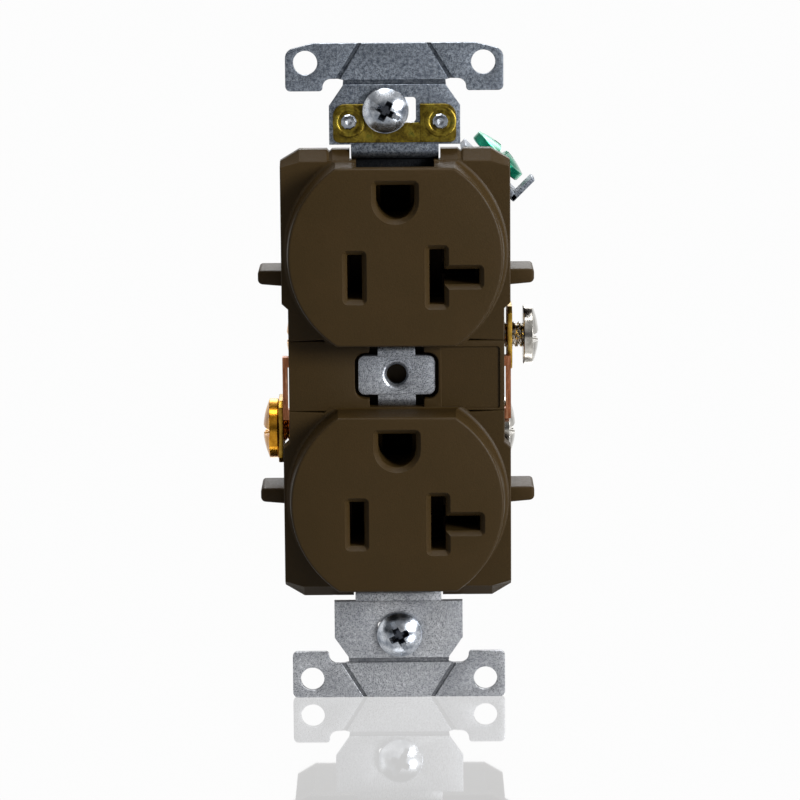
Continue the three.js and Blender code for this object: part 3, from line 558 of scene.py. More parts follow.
def turned_metal(name, dark, light, rough=(0.16, 0.3), grain=0.4, metallic=1.0, recess=None):
    """Plated screw metal with fine draw marks and a cloudy tint. A recess, given as the middle of a head's
    top, carries painted shade below a crown that falls off as the square of the distance from the head's
    axis."""
    make = Finish(name)
    cloud = make.noise(1.8, 3, 0.6)
    fine = make.noise(grain, 4, 0.7)
    colour = make.blend(make.ramp(cloud, [(0.3, 0), (0.68, 1)]), dark, light)
    colour = make.blend(make.ramp(fine, [(0.3, 0.45), (0.42, 0)]), colour,
                        tuple(0.45 * c for c in dark[:3]) + (1.0,))
    if recess is not None:
        # Painted shade in the driver recess, stopping short of the shank.
        x, z = make.axis("X") - recess[0] * MM, make.axis("Z") - recess[2] * MM
        fall = 1.5 * MM / (MOUNTING_HEAD * MM) ** 2
        below = make.axis("Y") - recess[1] * MM - (x * x + z * z) * fall
        deep = make.fade(below, 0.3, 0.9)
        shallow = make.fade(below, 1.9, 2.0, 1.0, 0.0)
        colour = make.blend(deep * shallow * 0.85, colour, rgb(20, 26, 40))
    return make.close(Base_Color=colour, Metallic=metallic,
                      Roughness=make.ramp(cloud + fine * 0.5, [(0.4, rough[0]), (1.0, rough[1])]),
                      Normal=make.bump(fine, 0.012, 0.4))


def copper_strip():
    make = Finish("copper_strip")
    rolled = make.noise(0.5, 4, 0.7, (1, 1, 0.12))
    cloud = make.noise(2.4, 3, 0.6)
    colour = make.tint(rolled, [(0.3, rgb(98, 58, 38)), (0.5, rgb(176, 112, 78)),
                                (0.68, rgb(222, 168, 132))])
    colour = make.blend(make.ramp(cloud, [(0.35, 0.5), (0.6, 0)]), colour, rgb(120, 76, 46))
    # Painted shade: the strip is darkened where the housing covers it.
    colour = make.blend(make.fade(abs(make.axis("X")), 12.8, 13.4), rgb(26, 19, 13), colour)
    rough = make.ramp(rolled, [(0.3, 0.42), (0.7, 0.26)])
    return make.close(Base_Color=colour, Metallic=1.0, Roughness=rough,
                      Normal=make.bump(rolled, 0.02, 0.5))


def fibre_board():
    make = Finish("fibre_board")
    felt = make.noise(0.3, 4, 0.8)
    colour = make.blend(make.ramp(felt, [(0.3, 0), (0.7, 1)]), rgb(38, 38, 41), rgb(66, 66, 70))
    return make.close(Base_Color=colour, Roughness=0.85, Normal=make.bump(felt, 0.05, 0.6))


MOULDING = brown_moulding()
ZINC = zinc_plate()
CHROMATE = chromate()
BRASS = turned_metal("brass", rgb(150, 94, 12), rgb(232, 168, 54))
PLATE_BRASS = turned_metal("plate_brass", rgb(128, 98, 30), rgb(200, 160, 70), rough=(0.22, 0.4))
# Near-black brass for the ground contacts deep inside the housing: painted shade.
SHADED_CONTACT_BRASS = turned_metal("shaded_contact_brass", rgb(34, 26, 12), rgb(60, 46, 22), rough=(0.4, 0.6))
SILVER = turned_metal("nickel_plate", rgb(150, 146, 138), rgb(226, 222, 214), rough=(0.12, 0.24))
BRIGHT = turned_metal("bright_zinc", rgb(110, 118, 130), rgb(206, 210, 216), rough=(0.16, 0.3), grain=0.3)
GREEN = turned_metal("green_dye", rgb(0, 92, 70), rgb(30, 168, 132), rough=(0.14, 0.3), metallic=0.7)
COPPER = copper_strip()
FIBRE = fibre_board()

# ---------------------------------------------------------------- housing


def face_loop(z, lean=0.0, level=0.0, steps=60):
    """Two arcs of the face circle, cut off level at the flats. The arcs stand lean outside the face's own
    circle and the flats stand level outside its own flats."""
    radius, flat = FACE_RADIUS + lean, FACE_FLAT + level
    reach = math.asin(flat / radius)
    turn = np.linspace(-reach, reach, steps + 1)
    angle = np.concatenate([turn, math.pi + turn])
    return np.stack([radius * np.cos(angle), z + radius * np.sin(angle)], 1)


def hot_loop(z):
    return rectangle(-BLADE_X - SLOT_HALF, -BLADE_X + SLOT_HALF, z - 3.5, z + 3.5, 0.12, 3)


def neutral_loop(z):
    """An upright slot with an arm towards the outside."""
    x, arm, tall, end = BLADE_X, 1.185, 4.3, BLADE_X + 6.55
    inner, outer = x - SLOT_HALF, x + SLOT_HALF
    return corners([(inner, z - tall, 0.12), (outer, z - tall, 0.12), (outer, z - arm), (end, z - arm, 0.12),
                    (end, z + arm, 0.12), (outer, z + arm), (outer, z + tall, 0.12),
                    (inner, z + tall, 0.12)], 3)


def ground_loop(z):
    """A half circle below and a flat on top."""
    angle = np.linspace(math.pi, 2 * math.pi, 33)
    radius, flat = 2.95, z + 2.4
    bowl = np.stack([radius * np.cos(angle), z + radius * np.sin(angle)], 1)
    top = corners([(radius, z), (radius, flat, 0.2), (-radius, flat, 0.2), (-radius, z)], 3)
    return np.concatenate([bowl, top[1:-1]])


def face_plug(z):
    """A face: its front edge is a quarter round, its wall leans out a little and runs into a hollow foot that
    is wide along the arcs and narrow along the flats. The slots have flared mouths."""
    turn = np.linspace(0, math.pi / 2, 7)
    profile = [(FACE + FACE_EDGE * (1 - math.cos(a)), -FACE_EDGE * (1 - math.sin(a)), 0) for a in turn]
    foot = 0.85
    profile += [(SHOULDER - foot + foot * math.sin(a) + 0.03, 0.3, foot * (1 - math.cos(a))) for a in turn]
    profile += [(COVER_BACK, 0.3, foot)]
    rings = [ring(face_loop(z, lean + hollow, lean + 0.35 * hollow), depth)
             for depth, lean, hollow in profile]
    blade = z - BLADE_DROP
    holes = []
    for slot in [hot_loop(blade), neutral_loop(blade), ground_loop(blade + GROUND_RISE)]:
        mouth = FACE + SLOT_CHAMFER
        holes.append([ring(grow(slot, SLOT_CHAMFER), FACE), ring(grow(slot, 0.06), mouth - 0.06),
                      ring(slot, mouth + 0.04), ring(slot, COVER_BACK)])
    return solid([rings, *holes])


def face_side(z):
    """The right-hand side of a face from its lower flat to its upper flat, a little inside the face."""
    inset = 0.35
    loop = face_loop(z, -inset, -inset)
    right = loop[: len(loop) // 2]
    return right[right[:, 1] > z - FACE_FLAT]


def shoulder_end(dip):
    """The housing's right upper shoulder as two outlines: at the front, where the sloped end cuts it short,
    and at full height. Both have the same points."""
    z = OUTLETS["upper"]
    seam, step = z - FACE_FLAT, WAIST_HIGH + WAIST_STEP
    arc = face_side(z)[::-1]
    cut = HALF_HEIGHT - END_BEVEL
    corner = HALF_HEIGHT - CORNER_DOWN
    # (x, z at full height, z at the front)
    rows = [(WAIST, seam, seam), (WAIST, WAIST_HIGH, WAIST_HIGH), (HALF_WIDTH, step, step),
            (HALF_WIDTH, corner, corner - 0.8), (HALF_WIDTH - CORNER_ACROSS, HALF_HEIGHT, cut),
            (10.6, HALF_HEIGHT, cut), (10.2, HALF_HEIGHT - dip, cut), (9.7, HALF_HEIGHT, cut),
            (NOTCH_HALF, HALF_HEIGHT, cut)]
    tail = [(NOTCH_HALF, arc[0, 1]), *arc.tolist()]
    full = np.array([(x, high) for x, high, _ in rows] + tail)
    front = np.array([(x, low) for x, _, low in rows] + tail)
    return front, full


def shoulder_shell(side, up):
    front, full = [placed(loop, side, up) for loop in shoulder_end(0.45 if up > 0 else 0.02)]
    edge = 0.15
    rings = [ring(grow(front, -edge), SHOULDER), ring(grow(front, -edge * 0.3), SHOULDER + edge * 0.3),
             ring(front, SHOULDER + edge), ring(full, SHOULDER + END_BEVEL), ring(full, PARTING - 0.15),
             ring(grow(full, -0.15), PARTING)]
    return solid([rings])


def middle_shell(side):
    """The flat between the two faces on one side of the strap's pad, a trace lower than the ends, with a
    shallow blank panel on the right."""
    seam = OUTLETS["upper"] - FACE_FLAT
    neck, wide, tall = PAD_NECK + NECK_GAP, PAD_HALF + WINDOW_GAP, PAD_TALL + WINDOW_GAP
    radius = PAD_CORNER + WINDOW_GAP
    outer = corners([(neck, -seam), (WAIST, -seam), (WAIST, seam), (neck, seam), (neck, tall, 0.3),
                     (wide, tall, radius), (wide, -tall, radius), (neck, -tall, 0.3)])
    panel = rectangle(7.0, 16.1, -5.2, 4.5, 0.4)
    outer = placed(outer, side)
    top = SHOULDER + 0.1
    rings = [ring(grow(outer, -i), d) for d, i in eased(top, PARTING, 0.15, 0.15)]
    pockets = []
    if side > 0:
        pockets = [[ring(grow(panel, 0.1), top), ring(panel, top + 0.1), ring(panel, top + 0.3)]]
    return solid([rings], pockets)


def neck_room(up):
    """The hollow under a face where the strap's neck goes in: a block behind the face's front skin."""
    near, far = sorted((up * (HALF_HEIGHT - 4.0), up * (HALF_HEIGHT + 1.0)))
    return block(1 - NOTCH_HALF, NOTCH_HALF - 1, FACE + 1.3, COVER_BACK + 1, near, far, 0.1)


def cover_shells():
    shells = [carved(face_plug(up * OUTLETS["upper"]), neck_room(up)) for up in (1, -1)]
    shells += [shoulder_shell(side, up) for side in (-1, 1) for up in (-1, 1)]
    shells += [middle_shell(side) for side in (-1, 1)]
    return shells


piece("cover", cover_shells(), MOULDING, stands_for=["face_cover"])


def wing_shell(side, up):
    """One thumb-like wing: level on top, sloped below, its corners rounded."""
    root = BODY_WIDE - 1
    inner = TERMINAL_MIDDLE + up * 16.1
    outer = TERMINAL_MIDDLE + up * 18.8
    top, bottom = max(inner, outer), min(inner, outer)
    reach = BODY_HIGH[0]
    loop = corners([(root, bottom), (reach, top - 2.2, 0.8), (reach, top, 0.6), (root, top)], 8)
    return plate(placed(loop, side), (), 3.0, 11.5, 0.35)


def body_shells():
    """The back body in layers from the parting to the back: round the wiring recesses, behind them, and the
    last layer with the counterbores of the assembly screws."""
    wide, tall, base = BODY_WIDE, BODY_TOP, BODY_BOTTOM
    low, high = TERMINAL_MIDDLE - RECESS_HALF, TERMINAL_MIDDLE + RECESS_HALF
    cut = TAB[0] + TAB[2] - (STRAP_THICK / 2 + 0.3) * math.sqrt(2)
    a, d = CORNER_ACROSS, CORNER_DOWN
    plain = [(wide - a, base), (wide, base + d), (wide, tall - d), (wide - a, tall),
             (a - wide, tall), (-wide, tall - d), (-wide, base + d), (a - wide, base)]
    front = corners([
        (wide - a, base), (wide, base + d), (wide, low), (RECESS_X, low), (RECESS_X, high), (wide, high),
        (wide, cut - wide), (cut - tall, tall), (a - wide, tall), (-wide, tall - d), (-wide, high),
        (-RECESS_X, high), (-RECESS_X, low), (-wide, low), (-wide, base + d), (a - wide, base)])
    pockets = []
    for z in OUTLETS.values():
        blade = z - BLADE_DROP
        ground = blade + GROUND_RISE
        hot_tall, neutral_tall, ground_wide = 4.2, 5.2, 4.7
        pockets.append(rectangle(-9.3, -4.1, blade - hot_tall, blade + hot_tall))
        pockets.append(rectangle(4.1, 12.4, blade - neutral_tall, blade + neutral_tall))
        pockets.append(rectangle(-ground_wide, ground_wide, ground - 3.9, ground + 2.6))
    shells = [plate(front, pockets, PARTING, RECESS_FLOOR, 0.0, front_edge=0.15)]
    corner = np.array([(wide, cut - wide), (wide, tall - d), (wide - a, tall), (cut - tall, tall)])
    shells.append(plate(corner, (), 13.3, RECESS_FLOOR, 0.0))
    outer = corners(plain)
    wire_x, wire_offset, wire_radius = 14.9, 3.3, 1.4
    heights = [TERMINAL_MIDDLE + up * TERMINAL_PITCH + along * wire_offset
               for up in (-1, 1) for along in (-1, 1)]
    wires = [circle(side * wire_x, z, wire_radius, 32) for side in (-1, 1) for z in heights]
    screws = [span(f"assembly_screw_{i}") for i in (1, 2, 3, 4)]
    middles = [((lo + hi) / 2)[[0, 2]] for lo, hi in screws]
    counterbores = [circle(x, z, 3.1) for x, z in middles]
    bore_floor = BODY_BACK - 1.9
    shells.append(plate(outer, wires, RECESS_FLOOR, bore_floor, 0.0))
    levels = eased(bore_floor, BODY_BACK, 0.0, 0.22, 3)
    sides = [[ring(grow(outer, -i), depth) for depth, i in levels]]
    for hole in [*counterbores, *wires]:
        sides.append([ring(hole, depth) for depth, i in levels])
    shells.append(solid(sides))
    shells += [wing_shell(side, up) for side in (-1, 1) for up in (-1, 1)]
    return shells


piece("body", body_shells(), MOULDING, stands_for=["back_body"])

# ---------------------------------------------------------------- strap


def ear_loops(up):
    """Outlines of one end of the strap: the whole of it, and the panels that the score lines divide it into.
    The upper ears slope down to their outer corners; the lower ones are square."""
    top, bottom = STRAP_END, MOUNTING_Z + EAR_RISE
    notch_top, waist = MOUNTING_Z + 4.83, MOUNTING_Z + 3.73
    foot, wide = WIDE_FOOT, WIDE_FOOT + 6.0
    slope = [(EAR_HALF, top - 1.1, 1.5), (12.5, top)] if up > 0 else [(EAR_HALF, top, 0.8)]
    score = MOUNTING_Z + 3.93, MOUNTING_Z + 4.63
    side = [(NECK_HALF, foot), (WIDE_HALF, foot), (WIDE_HALF, wide), (WAIST_HALF, waist)]
    rim = [(NOTCH_X, notch_top, 1.3), (NOTCH_X, bottom, 0.5), (EAR_HALF, bottom, 0.8), *slope]
    right = [*side, (7.9, notch_top - 0.2), (8.7, notch_top), *rim]
    whole = corners([*right, *[(-p[0], *p[1:]) for p in right[::-1]]])
    low = corners([*side, (7.96, score[0]), (-7.96, score[0]), *[(-x, z) for x, z in side[::-1]]])
    middle = corners([(7.9, score[1]), (8.35, score[1] + 0.2), (5.0, top), (-5.0, top),
                      (-8.35, score[1] + 0.2), (-7.9, score[1])])
    ear = corners([(9.1, notch_top), *rim, (5.65, top)])
    return whole, low, middle, ear


def bend_path(points, radius, steps=6):
    """A path of (depth, height) with its corners rounded, and its normals, a quarter turn from its run."""
    path = corners([(*points[0], 0), *[(*p, radius) for p in points[1:-1]], (*points[-1], 0)], steps)
    run = np.gradient(path, axis=0)
    run /= np.linalg.norm(run, axis=1)[:, None]
    return path, np.stack([-run[:, 1], run[:, 0]], 1)


def neck_shell(up):
    """The stretch that runs on from an ear, then bends sharply back to the inner level under the housing."""
    middle = -STRAP_THICK / 2 + 0.1
    inner = INNER_LEVEL + STRAP_THICK / 2
    path, normals = bend_path([(middle, up * (WIDE_FOOT + 1.5)), (middle, up * (WIDE_FOOT - 1.4)),
                               (inner, up * (WIDE_FOOT - 2.2)), (inner, up * (WIDE_FOOT - 3.8))], 0.6)
    section = rectangle(-NECK_HALF, NECK_HALF, -STRAP_THICK / 2, STRAP_THICK / 2, 0.12, 3)
    return carried(section, path, normals)


def strap_end_shells(up):
    whole, low, middle, ear = ear_loops(up)
    slot = rectangle(-3.3, 3.3, MOUNTING_Z - 1.95, MOUNTING_Z + 1.95, 0.5)
    rise = MOUNTING_Z + EAR_HOLE_RISE
    left, right = [circle(side * EAR_HOLE_X, rise, EAR_HOLE_RADIUS, 56) for side in (-1, 1)]
    step = -STRAP_THICK + SCORE_DEPTH
    through = [placed(hole, 1, up) for hole in (slot, left, right)]
    shells = [plate(placed(whole, 1, up), through, step, 0.0, 0.0, back_edge=0.12)]
    for loop, holes in ((low, [slot]), (middle, []), (ear, [right]), (mirrored(ear), [left])):
        holes = [placed(hole, 1, up) for hole in holes]
        shells.append(plate(placed(loop, 1, up), holes, -STRAP_THICK, step, 0.0, front_edge=0.12))
    return [*shells, neck_shell(up)]


def pad_shells():
    """The middle pad with its drawn and threaded hole, and two necks that bend back under the faces."""
    loop = rectangle(-PAD_HALF, PAD_HALF, -PAD_TALL, PAD_TALL, PAD_CORNER)
    mouth = 2.45
    angle = np.linspace(0, math.pi / 2, 9)
    profile = [(mouth + 0.1, -STRAP_THICK + 0.4)]
    profile += [(mouth - 0.78 * math.sin(a), -STRAP_THICK + 0.02 + 0.7 * (1 - math.cos(a))) for a in angle]
    depth = np.arange(-STRAP_THICK + 0.85, 1.5, 0.09)
    profile += [(1.64 - 0.07 * math.cos(d * 2 * math.pi / 0.5), d) for d in depth]
    profile += [(2.1, 1.5), (2.2, 0.0), (mouth + 0.1, -0.2)]
    rings = np.array(profile)
    rows, count = len(rings), 64
    number = np.arange(count)
    after, end = (number + 1) % count, (rows - 1) * count
    turn = 2 * math.pi * number / count
    grid = np.stack([rings[:, 0, None] * np.cos(turn), np.broadcast_to(rings[:, 1, None], (rows, count)),
                     rings[:, 0, None] * np.sin(turn)], -1)
    # The last ring joins the first one.
    closing = np.stack([number + end, number, after, after + end], 1)
    collar = shell(grid.reshape(-1, 3), [np.concatenate([strip(rows, count), closing])])
    shells = [plate(loop, [circle(0, 0, mouth, count)], -STRAP_THICK, 0, 0.16), collar,
              block(-3.85, 3.85, -0.35, 0.1, -5.8, -5.35, 0.08)]
    middle, inner = -STRAP_THICK / 2, INNER_LEVEL + STRAP_THICK / 2
    section = rectangle(-PAD_NECK, PAD_NECK, -STRAP_THICK / 2, STRAP_THICK / 2, 0.1, 3)
    for up in (-1, 1):
        path, normals = bend_path([(middle + 0.02, up * 2.7), (middle + 0.02, up * 4.2),
                                   (inner, up * 5.8), (inner, up * 9.0)], 0.9)
        shells.append(carried(section, path, normals))
    return shells


def rail_shells():
    """The strap's inner level: narrow between the blade contacts and wide round the ground holes."""
    end = WIDE_FOOT - 2.6
    thin, wide, below, above = 3.85, 6.75, 6.9, 4.4
    upper, lower = (z - BLADE_DROP + GROUND_RISE for z in OUTLETS.values())
    top = [(thin, 5.6), (thin, upper - below), (wide, upper - below), (wide, end)]
    bottom = [(thin, -5.6), (thin, lower + above), (wide, lower + above), (wide, lower - below),
              (thin, lower - below), (thin, -28.8), (wide, -28.8), (wide, -end)]
    shells = []
    for half, z in ((top, upper), (bottom, lower)):
        loop = corners(half + [(-x, height) for x, height in half[::-1]])
        shells.append(plate(loop, [grow(ground_loop(z), 0.4)], INNER_LEVEL + 0.01, PARTING - 0.01, 0.0))
    return shells


def ground_arm_shells():
    """The strap's side arm, and the tab standing at 45 degrees with its turned-up lip."""
    side, top = HALF_WIDTH - 2.1, HALF_HEIGHT - 2.1
    foot = TAB[2] - 3.9
    total = TAB[0] + TAB[2]
    root = 5.8
    arm = np.array([(root, foot), (side, foot), (side, min(top, total - side)), (total - top, top),
                    (root, top)])
    shells = [plate(arm, (), INNER_LEVEL, PARTING - 0.02, 0.1)]
    down, out = np.array([1, 0, -1]) / math.sqrt(2), np.array([1, 0, 1]) / math.sqrt(2)
    half = STRAP_THICK / 2
    lip_out = 5.15 + STRAP_THICK
    low, high = span("ground_screw")
    depth = (low[1] + high[1]) / 2
    # Drawn with x along the tab, z deep and its own depth outward, then turned into place.
    sheet = corners([(-5.3, 2.5, 0.5), (lip_out - 0.1, 2.5), (lip_out - 0.1, 13.0), (-5.3, 13.0, 0.5)])
    hole = circle(0, depth, 2.38, 40)
    tab = plate(sheet, [hole], -half, half, 0.12)
    lip = plate(rectangle(lip_out - 0.75, lip_out, 2.5, 7.0), (), -half, 4.3, 0.2)
    web = plate(rectangle(-1.4, 1.4, INNER_LEVEL, 3.0), (), -half + 0.02, half - 0.02, 0.1)
    shells += [moved(s, TAB, down, out, (0, 1, 0)) for s in (tab, lip, web)]
    return shells


piece("strap_upper_end", strap_end_shells(1), ZINC, stands_for=["mounting_strap"])
piece("strap_lower_end", strap_end_shells(-1), ZINC)
piece("strap_pad", pad_shells(), ZINC)
piece("strap_inner", rail_shells(), ZINC)
piece("strap_ground_arm", ground_arm_shells(), ZINC)


def clip_shells():
    """The spring clip: a thin plate with two raised lobes round its rivets, each with a pressed ring."""
    foot, back = WIDE_FOOT + 0.3, -STRAP_THICK
    low, high = foot, foot + 6.0
    bridge = foot + 3.1
    half = span("grounding_clip")[1][0]
    rivet_z = foot + 3.3
    turn = np.linspace(0, math.pi, 9)
    ring_profile = [(0.0, -0.05), (1.5, -0.05),
                    *[(2.05 - 0.42 * math.cos(a), 0.17 * math.sin(a)) for a in turn], (2.5, -0.05)]
    outline = corners([(half, low, 1.0), (half, high, 1.8), (3.9, high), (3.9, bridge), (-4.5, bridge),
                       (-4.5, high), (-half, high, 1.8), (-half, low, 1.0)])
    shells = [plate(outline, (), back - CLIP_THICK + 0.14, back, 0.1)]
    for side in (-1, 1):
        near = 3.95 if side > 0 else 4.55
        inset = 0.05
        lobe = corners([(near, low + inset, 0.2), (half - inset, low + inset, 1.0),
                        (half - inset, high - inset, 1.8), (near, high - inset, 0.2)])
        front = back - CLIP_THICK
        shells.append(plate(placed(lobe, side), (), front, front + 0.16, 0.1, back_edge=0.0))
        shells.append(turned(ring_profile, (side * RIVET_X, front, rivet_z), (0, -1, 0)))
    return shells


piece("clip", clip_shells(), CHROMATE, stands_for=["grounding_clip"])


def rivet_shells(side):
    """A rivet head struck with a few flats, and its shank."""
    front = -STRAP_THICK - CLIP_THICK
    z = WIDE_FOOT + 3.6
    head = [(1.2, -0.05), (1.22, 0.18), (1.0, 0.36), (0.55, 0.42), (0.2, 0.3)]
    tail = [(1.2, 0.0), (1.2, 0.25), (0.9, 0.35)]
    x = side * RIVET_X
    return [turned(head, (x, front, z), (0, -1, 0), 9, 0.4),
            turned([(0.9, -0.2), (0.9, 1.7)], (x, front, z), (0, 1, 0), 24),
            turned(tail, (x, 0, z), (0, 1, 0), 24)]


for word, side in (("left", -1), ("right", 1)):
    piece(f"rivet_{word}", rivet_shells(side), BRIGHT, stands_for=[f"clip_rivet_{word}"], smooth=12)

# ---------------------------------------------------------------- screws


def cross_cutters(radius, depth, width, point, direction, spin):
    """Two tapered bars at right angles, as a cross driver's tip would fill them."""
    along, side, other = frame_of(direction)
    c, s = math.cos(spin), math.sin(spin)
    side, other = side * c + other * s, other * c - side * s
    tools = []
    for a, b in ((side, other), (other, side)):
        rings = []
        for level, reach, half in ((depth, radius * 0.35, width * 0.3), (-0.6, radius * 1.05, width * 0.62)):
            loop = rectangle(-reach, reach, -half, half)
            rings.append(np.asarray(point) - along * level + loop[:, :1] * a + loop[:, 1:] * b)
        tools.append(capped(rings))
    return tools


def slot_cutter(half_length, depth, width, point, direction, side):
    """A straight slot: a bar lying across the head's top."""
    along = np.array(direction, float)
    side = np.array(side, float)
    other = np.cross(along, side)
    rings = []
    for level in (depth, -1.5):
        loop = rectangle(-half_length, half_length, -width / 2, width / 2)
        rings.append(np.asarray(point) - along * level + loop[:, :1] * side + loop[:, 1:] * other)
    return capped(rings)


def dome(radius, edge, thick, steps=10):
    """A binding head: a flat underside, a short upright edge, and a low crown whose height falls off as the
    square of the distance from the middle."""
    lip = 0.18
    share = np.linspace(1, 0.06, steps)
    crown = [(radius * 0.96 * r, edge + (thick - edge) * (1 - r * r)) for r in share]
    return [(radius * 0.4, 0.0), (radius - lip, 0.0), (radius, lip), (radius, edge - lip * 0.6),
            (radius - lip * 0.3, edge - lip * 0.1), *crown]


def wiring_screw(radius, height, cross_depth, length, seat, axis):
    """A screw for a wire: a broad head with a slot and a cross in it, and a threaded shank."""
    top = seat + np.array(axis) * height
    slot = slot_cutter(6, 1.1, 1.3, top, axis, (0, 1, 0))
    cross = cross_cutters(2.6, cross_depth, 1.5, top, axis, 0.0)
    head = carved(turned(dome(radius, 1.5, height), seat, axis, 72), slot, *cross)
    return [head, threaded(1.68, 2.08, -length, 0.02, seat, axis)]


def terminal_screw(name, side, finish):
    low, high = span(f"terminal_screw_{name}")
    y, z = (low[1] + high[1]) / 2, (low[2] + high[2]) / 2
    tip = high[0] if side > 0 else low[0]
    height = 2.5
    shells = wiring_screw(4.75, height, 1.9, 8.5, np.array([tip - side * height, y, z]), (side, 0, 0))
    piece(f"screw_{name}", shells, finish, body=f"{name}_screw", stands_for=[f"terminal_screw_{name}"])


for name, side, finish, slot in (("upper_left", -1, BRASS, "brass"), ("lower_left", -1, BRASS, "brass"),
                                 ("upper_right", 1, SILVER, "silver"), ("lower_right", 1, SILVER, "silver")):
    terminal_screw(name, side, finish)


def pressure_plate(name, side):
    """A square plate with cut corners and a hole for its screw."""
    low, high = span(f"pressure_plate_{name}")
    middle = (low + high) / 2
    w, h, c = (high[1] - low[1]) / 2, (high[2] - low[2]) / 2, 1.0
    loop = corners([(-w + c, -h, 0.3), (w - c, -h, 0.3), (w, -h + c, 0.3), (w, h - c, 0.3), (w - c, h, 0.3),
                    (-w + c, h, 0.3), (-w, h - c, 0.3), (-w, -h + c, 0.3)])
    thick = high[0] - low[0]
    flat = plate(loop, [circle(0, 0, 2.4)], -thick / 2, thick / 2, 0.15)
    piece(f"plate_{name}", [moved(flat, middle, (0, 1, 0), (side, 0, 0), (0, 0, 1))], PLATE_BRASS,
          body=f"{name}_plate", stands_for=[f"pressure_plate_{name}"])


for name, side in (("upper_left", -1), ("lower_left", -1), ("upper_right", 1), ("lower_right", 1)):
    pressure_plate(name, side)


def ground_screw():
    low, high = span("ground_screw")
    out = np.array([1, 0, 1]) / math.sqrt(2)
    seat = TAB + out * (STRAP_THICK / 2 + 1.2)
    seat[1] = (low[1] + high[1]) / 2
    shells = wiring_screw(4.8, 2.4, 1.8, 7.2, seat, out)
    piece("screw_ground", shells, GREEN, body="ground_screw", stands_for=["ground_screw"])


ground_screw()


def mounting_screw(word, up):
    low, high = span(f"mounting_screw_{word}")
    centre = (low + high) / 2
    axis = np.array([0, -1.0, 0])
    height = 2.2
    seat = np.array([centre[0], low[1] + height, centre[2]])
    head = turned(dome(MOUNTING_HEAD, 0.7, height, 14), seat, axis, 80)
    top = seat + axis * height
    spin = -0.5 if up > 0 else -1.1
    head = carved(head, *cross_cutters(2.1, 1.7, 1.05, top, axis, spin),
                  slot_cutter(3.0, 0.8, 0.75, top, axis, (math.cos(spin), 0, math.sin(spin))))
    shank = threaded(1.3, 1.6, -18.0, 0.02, seat, axis, 32)
    finish = turned_metal(f"{word}_screw_zinc", rgb(110, 118, 130), rgb(206, 210, 216), rough=(0.16, 0.3),
                          grain=0.3, recess=top)
    piece(f"screw_mounting_{word}", [head, shank], finish, body=f"{word}_mounting_screw",
          stands_for=[f"mounting_screw_{word}"])


def retainer(word):
    low, high = span(f"screw_retainer_{word}")
    centre = (low + high) / 2
    hole = circle(centre[0], centre[2], 1.65, 32)
    sheet = plate(rectangle(low[0], high[0], low[2], high[2], 0.8), [hole], low[1], high[1], 0.1)
    piece(f"retainer_{word}", [sheet], FIBRE, body=f"{word}_retainer",
          stands_for=[f"screw_retainer_{word}"])


for word, up in (("upper", 1), ("lower", -1)):
    mounting_screw(word, up)
    retainer(word)


def assembly_screw(i):
    low, high = span(f"assembly_screw_{i}")
    centre = (low + high) / 2
    axis = np.array([0, 1.0, 0])
    height = 1.6
    seat = np.array([centre[0], high[1] - height, centre[2]])
    head = turned(dome(2.8, 0.9, height), seat, axis, 56)
    head = carved(head, *cross_cutters(1.6, 1.3, 0.8, seat + axis * height, axis, 0.4 * i))
    shank = turned([(1.0, -20.4), (1.38, -19.7), (1.38, 0.02)], seat, axis, 24)
    piece(f"screw_assembly_{i}", [head, shank], BRIGHT, stands_for=[f"assembly_screw_{i}"])


for i in (1, 2, 3, 4):
    assembly_screw(i)

# ---------------------------------------------------------------- CAD nodes that stay as they are

for node, finish in (("hot_bus", COPPER), ("neutral_bus", COPPER), ("ground_contact_upper", SHADED_CONTACT_BRASS),
                     ("ground_contact_lower", SHADED_CONTACT_BRASS), ("ground_contact_rivet_upper", BRIGHT),
                     ("ground_contact_rivet_lower", BRIGHT)):
    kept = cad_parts[node]
    kept.data.materials.clear()
    kept.data.materials.append(finish)

# ---------------------------------------------------------------- studio


def area_light(name, place, size, power):
    """A rectangular lamp that points at the middle of the object. Places and sizes are in metres."""
    lamp = bpy.data.lights.new(name, "AREA")
    lamp.shape = "RECTANGLE"
    lamp.size, lamp.size_y = size
    lamp.energy = power
    made = bpy.data.objects.new(name, lamp)
    made.location = place
    made.rotation_euler = (-Vector(place)).to_track_quat("-Z", "Y").to_euler()
    bpy.context.scene.collection.objects.link(made)


area_light("key", (0.56, -0.45, 0.22), (0.22, 0.26), 8.6)
area_light("top", (0.02, -0.08, 0.6), (0.4, 0.25), 2.4)
area_light("left", (-0.6, -0.2, 0.1), (0.1, 0.5), 0.3)
area_light("back", (0.1, 0.6, 0.4), (0.5, 0.4), 3.0)


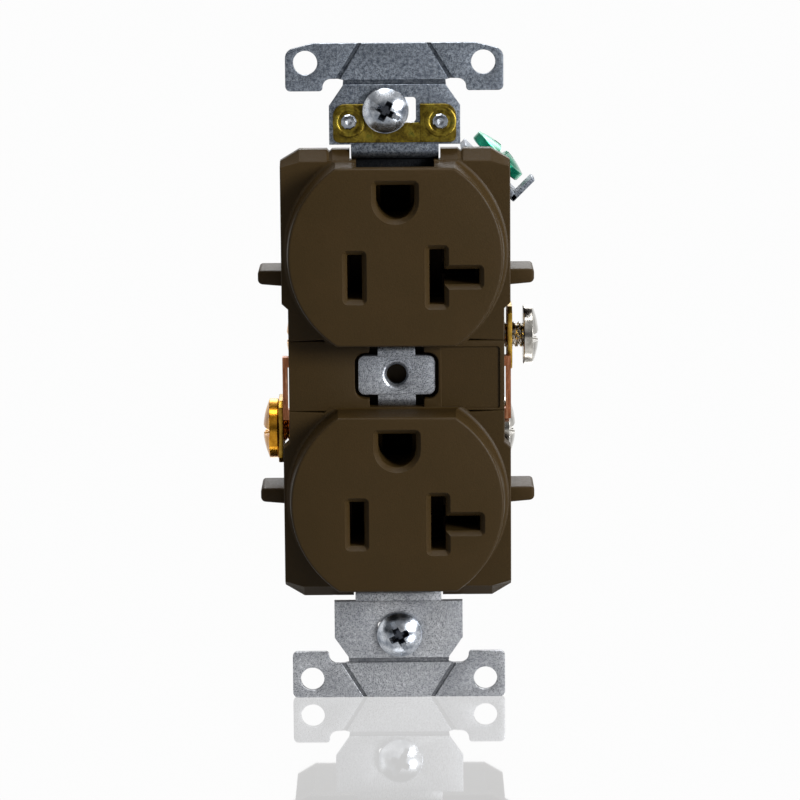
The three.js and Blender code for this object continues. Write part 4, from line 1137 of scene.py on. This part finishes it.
def studio_floor():
    """A large white sheet that the object stands on, with a faint shine."""
    mesh = bpy.data.meshes.new("floor")
    reach, level = 3.0, STRAP_LOW[2] * MM - 0.00002
    square = [(-reach, -reach), (reach, -reach), (reach, reach), (-reach, reach)]
    mesh.from_pydata([(x, y, level) for x, y in square], [], [(0, 1, 2, 3)])
    floor = bpy.data.objects.new("floor", mesh)
    bpy.context.scene.collection.objects.link(floor)
    make = Finish("floor")
    white = make.node("Emission", {}, {"Color": (1, 1, 1, 1), "Strength": 0.9})
    shine = make.node("BsdfGlossy", {}, {"Color": (1, 1, 1, 1), "Roughness": 0.03})
    make.output(make.node("MixShader", {}, {0: 0.36, 1: white, 2: shine}))
    mesh.materials.append(make.material)
    floor.visible_diffuse = False


studio_floor()


def studio_world():
    """White to the eye. As a light it is dim at the horizon, brighter overhead and white behind."""
    world = bpy.data.worlds.new("studio")
    bpy.context.scene.world = world
    make = Nodes(world, "Generated")
    height = make.node("MapRange", {}, {"Value": make.axis("Z"), 1: -1, 2: 1})
    sky = make.ramp(height, ((0.0, 0.02), (0.47, 0.03), (0.62, 0.12), (0.85, 0.6)))
    behind = make.node("MapRange", {}, {"Value": make.axis("Y"), 1: 0.8, 2: 0.95, 4: 1.4})
    glow = make.node("Background", {}, {"Strength": make.node("Math", {"operation": "MAXIMUM"},
                                                              {0: sky, 1: behind})})
    seen = make.node("Background", {}, {"Color": (1, 1, 1, 1)})
    eye = make.node("LightPath", output="Is Camera Ray")
    make.output(make.node("MixShader", {}, {0: eye, 1: glow, 2: seen}), "OutputWorld")


studio_world()


def camera():
    """A long lens a little above the object, tilted down, with a slight roll and shift to frame it."""
    lens = bpy.data.cameras.new("camera")
    lens.sensor_width, lens.lens = 36.0, 162.81
    lens.shift_x, lens.shift_y = 0.0042, -0.0326
    lens.clip_start, lens.clip_end = 0.01, 20
    made = bpy.data.objects.new("camera", lens)
    away = Vector((0.00315, -0.98455, 0.17509)).normalized()
    distance, roll = 0.5676, -0.0081
    right = Vector((0, 0, 1)).cross(away).normalized()
    up = away.cross(right)
    side = right * math.cos(roll) + up * math.sin(roll)
    top = up * math.cos(roll) - right * math.sin(roll)
    made.matrix_world = Matrix((side, top, away)).transposed().to_4x4()
    made.location = away * distance
    bpy.context.scene.collection.objects.link(made)
    bpy.context.scene.camera = made


camera()
bpy.context.scene.view_settings.view_transform = "Standard"
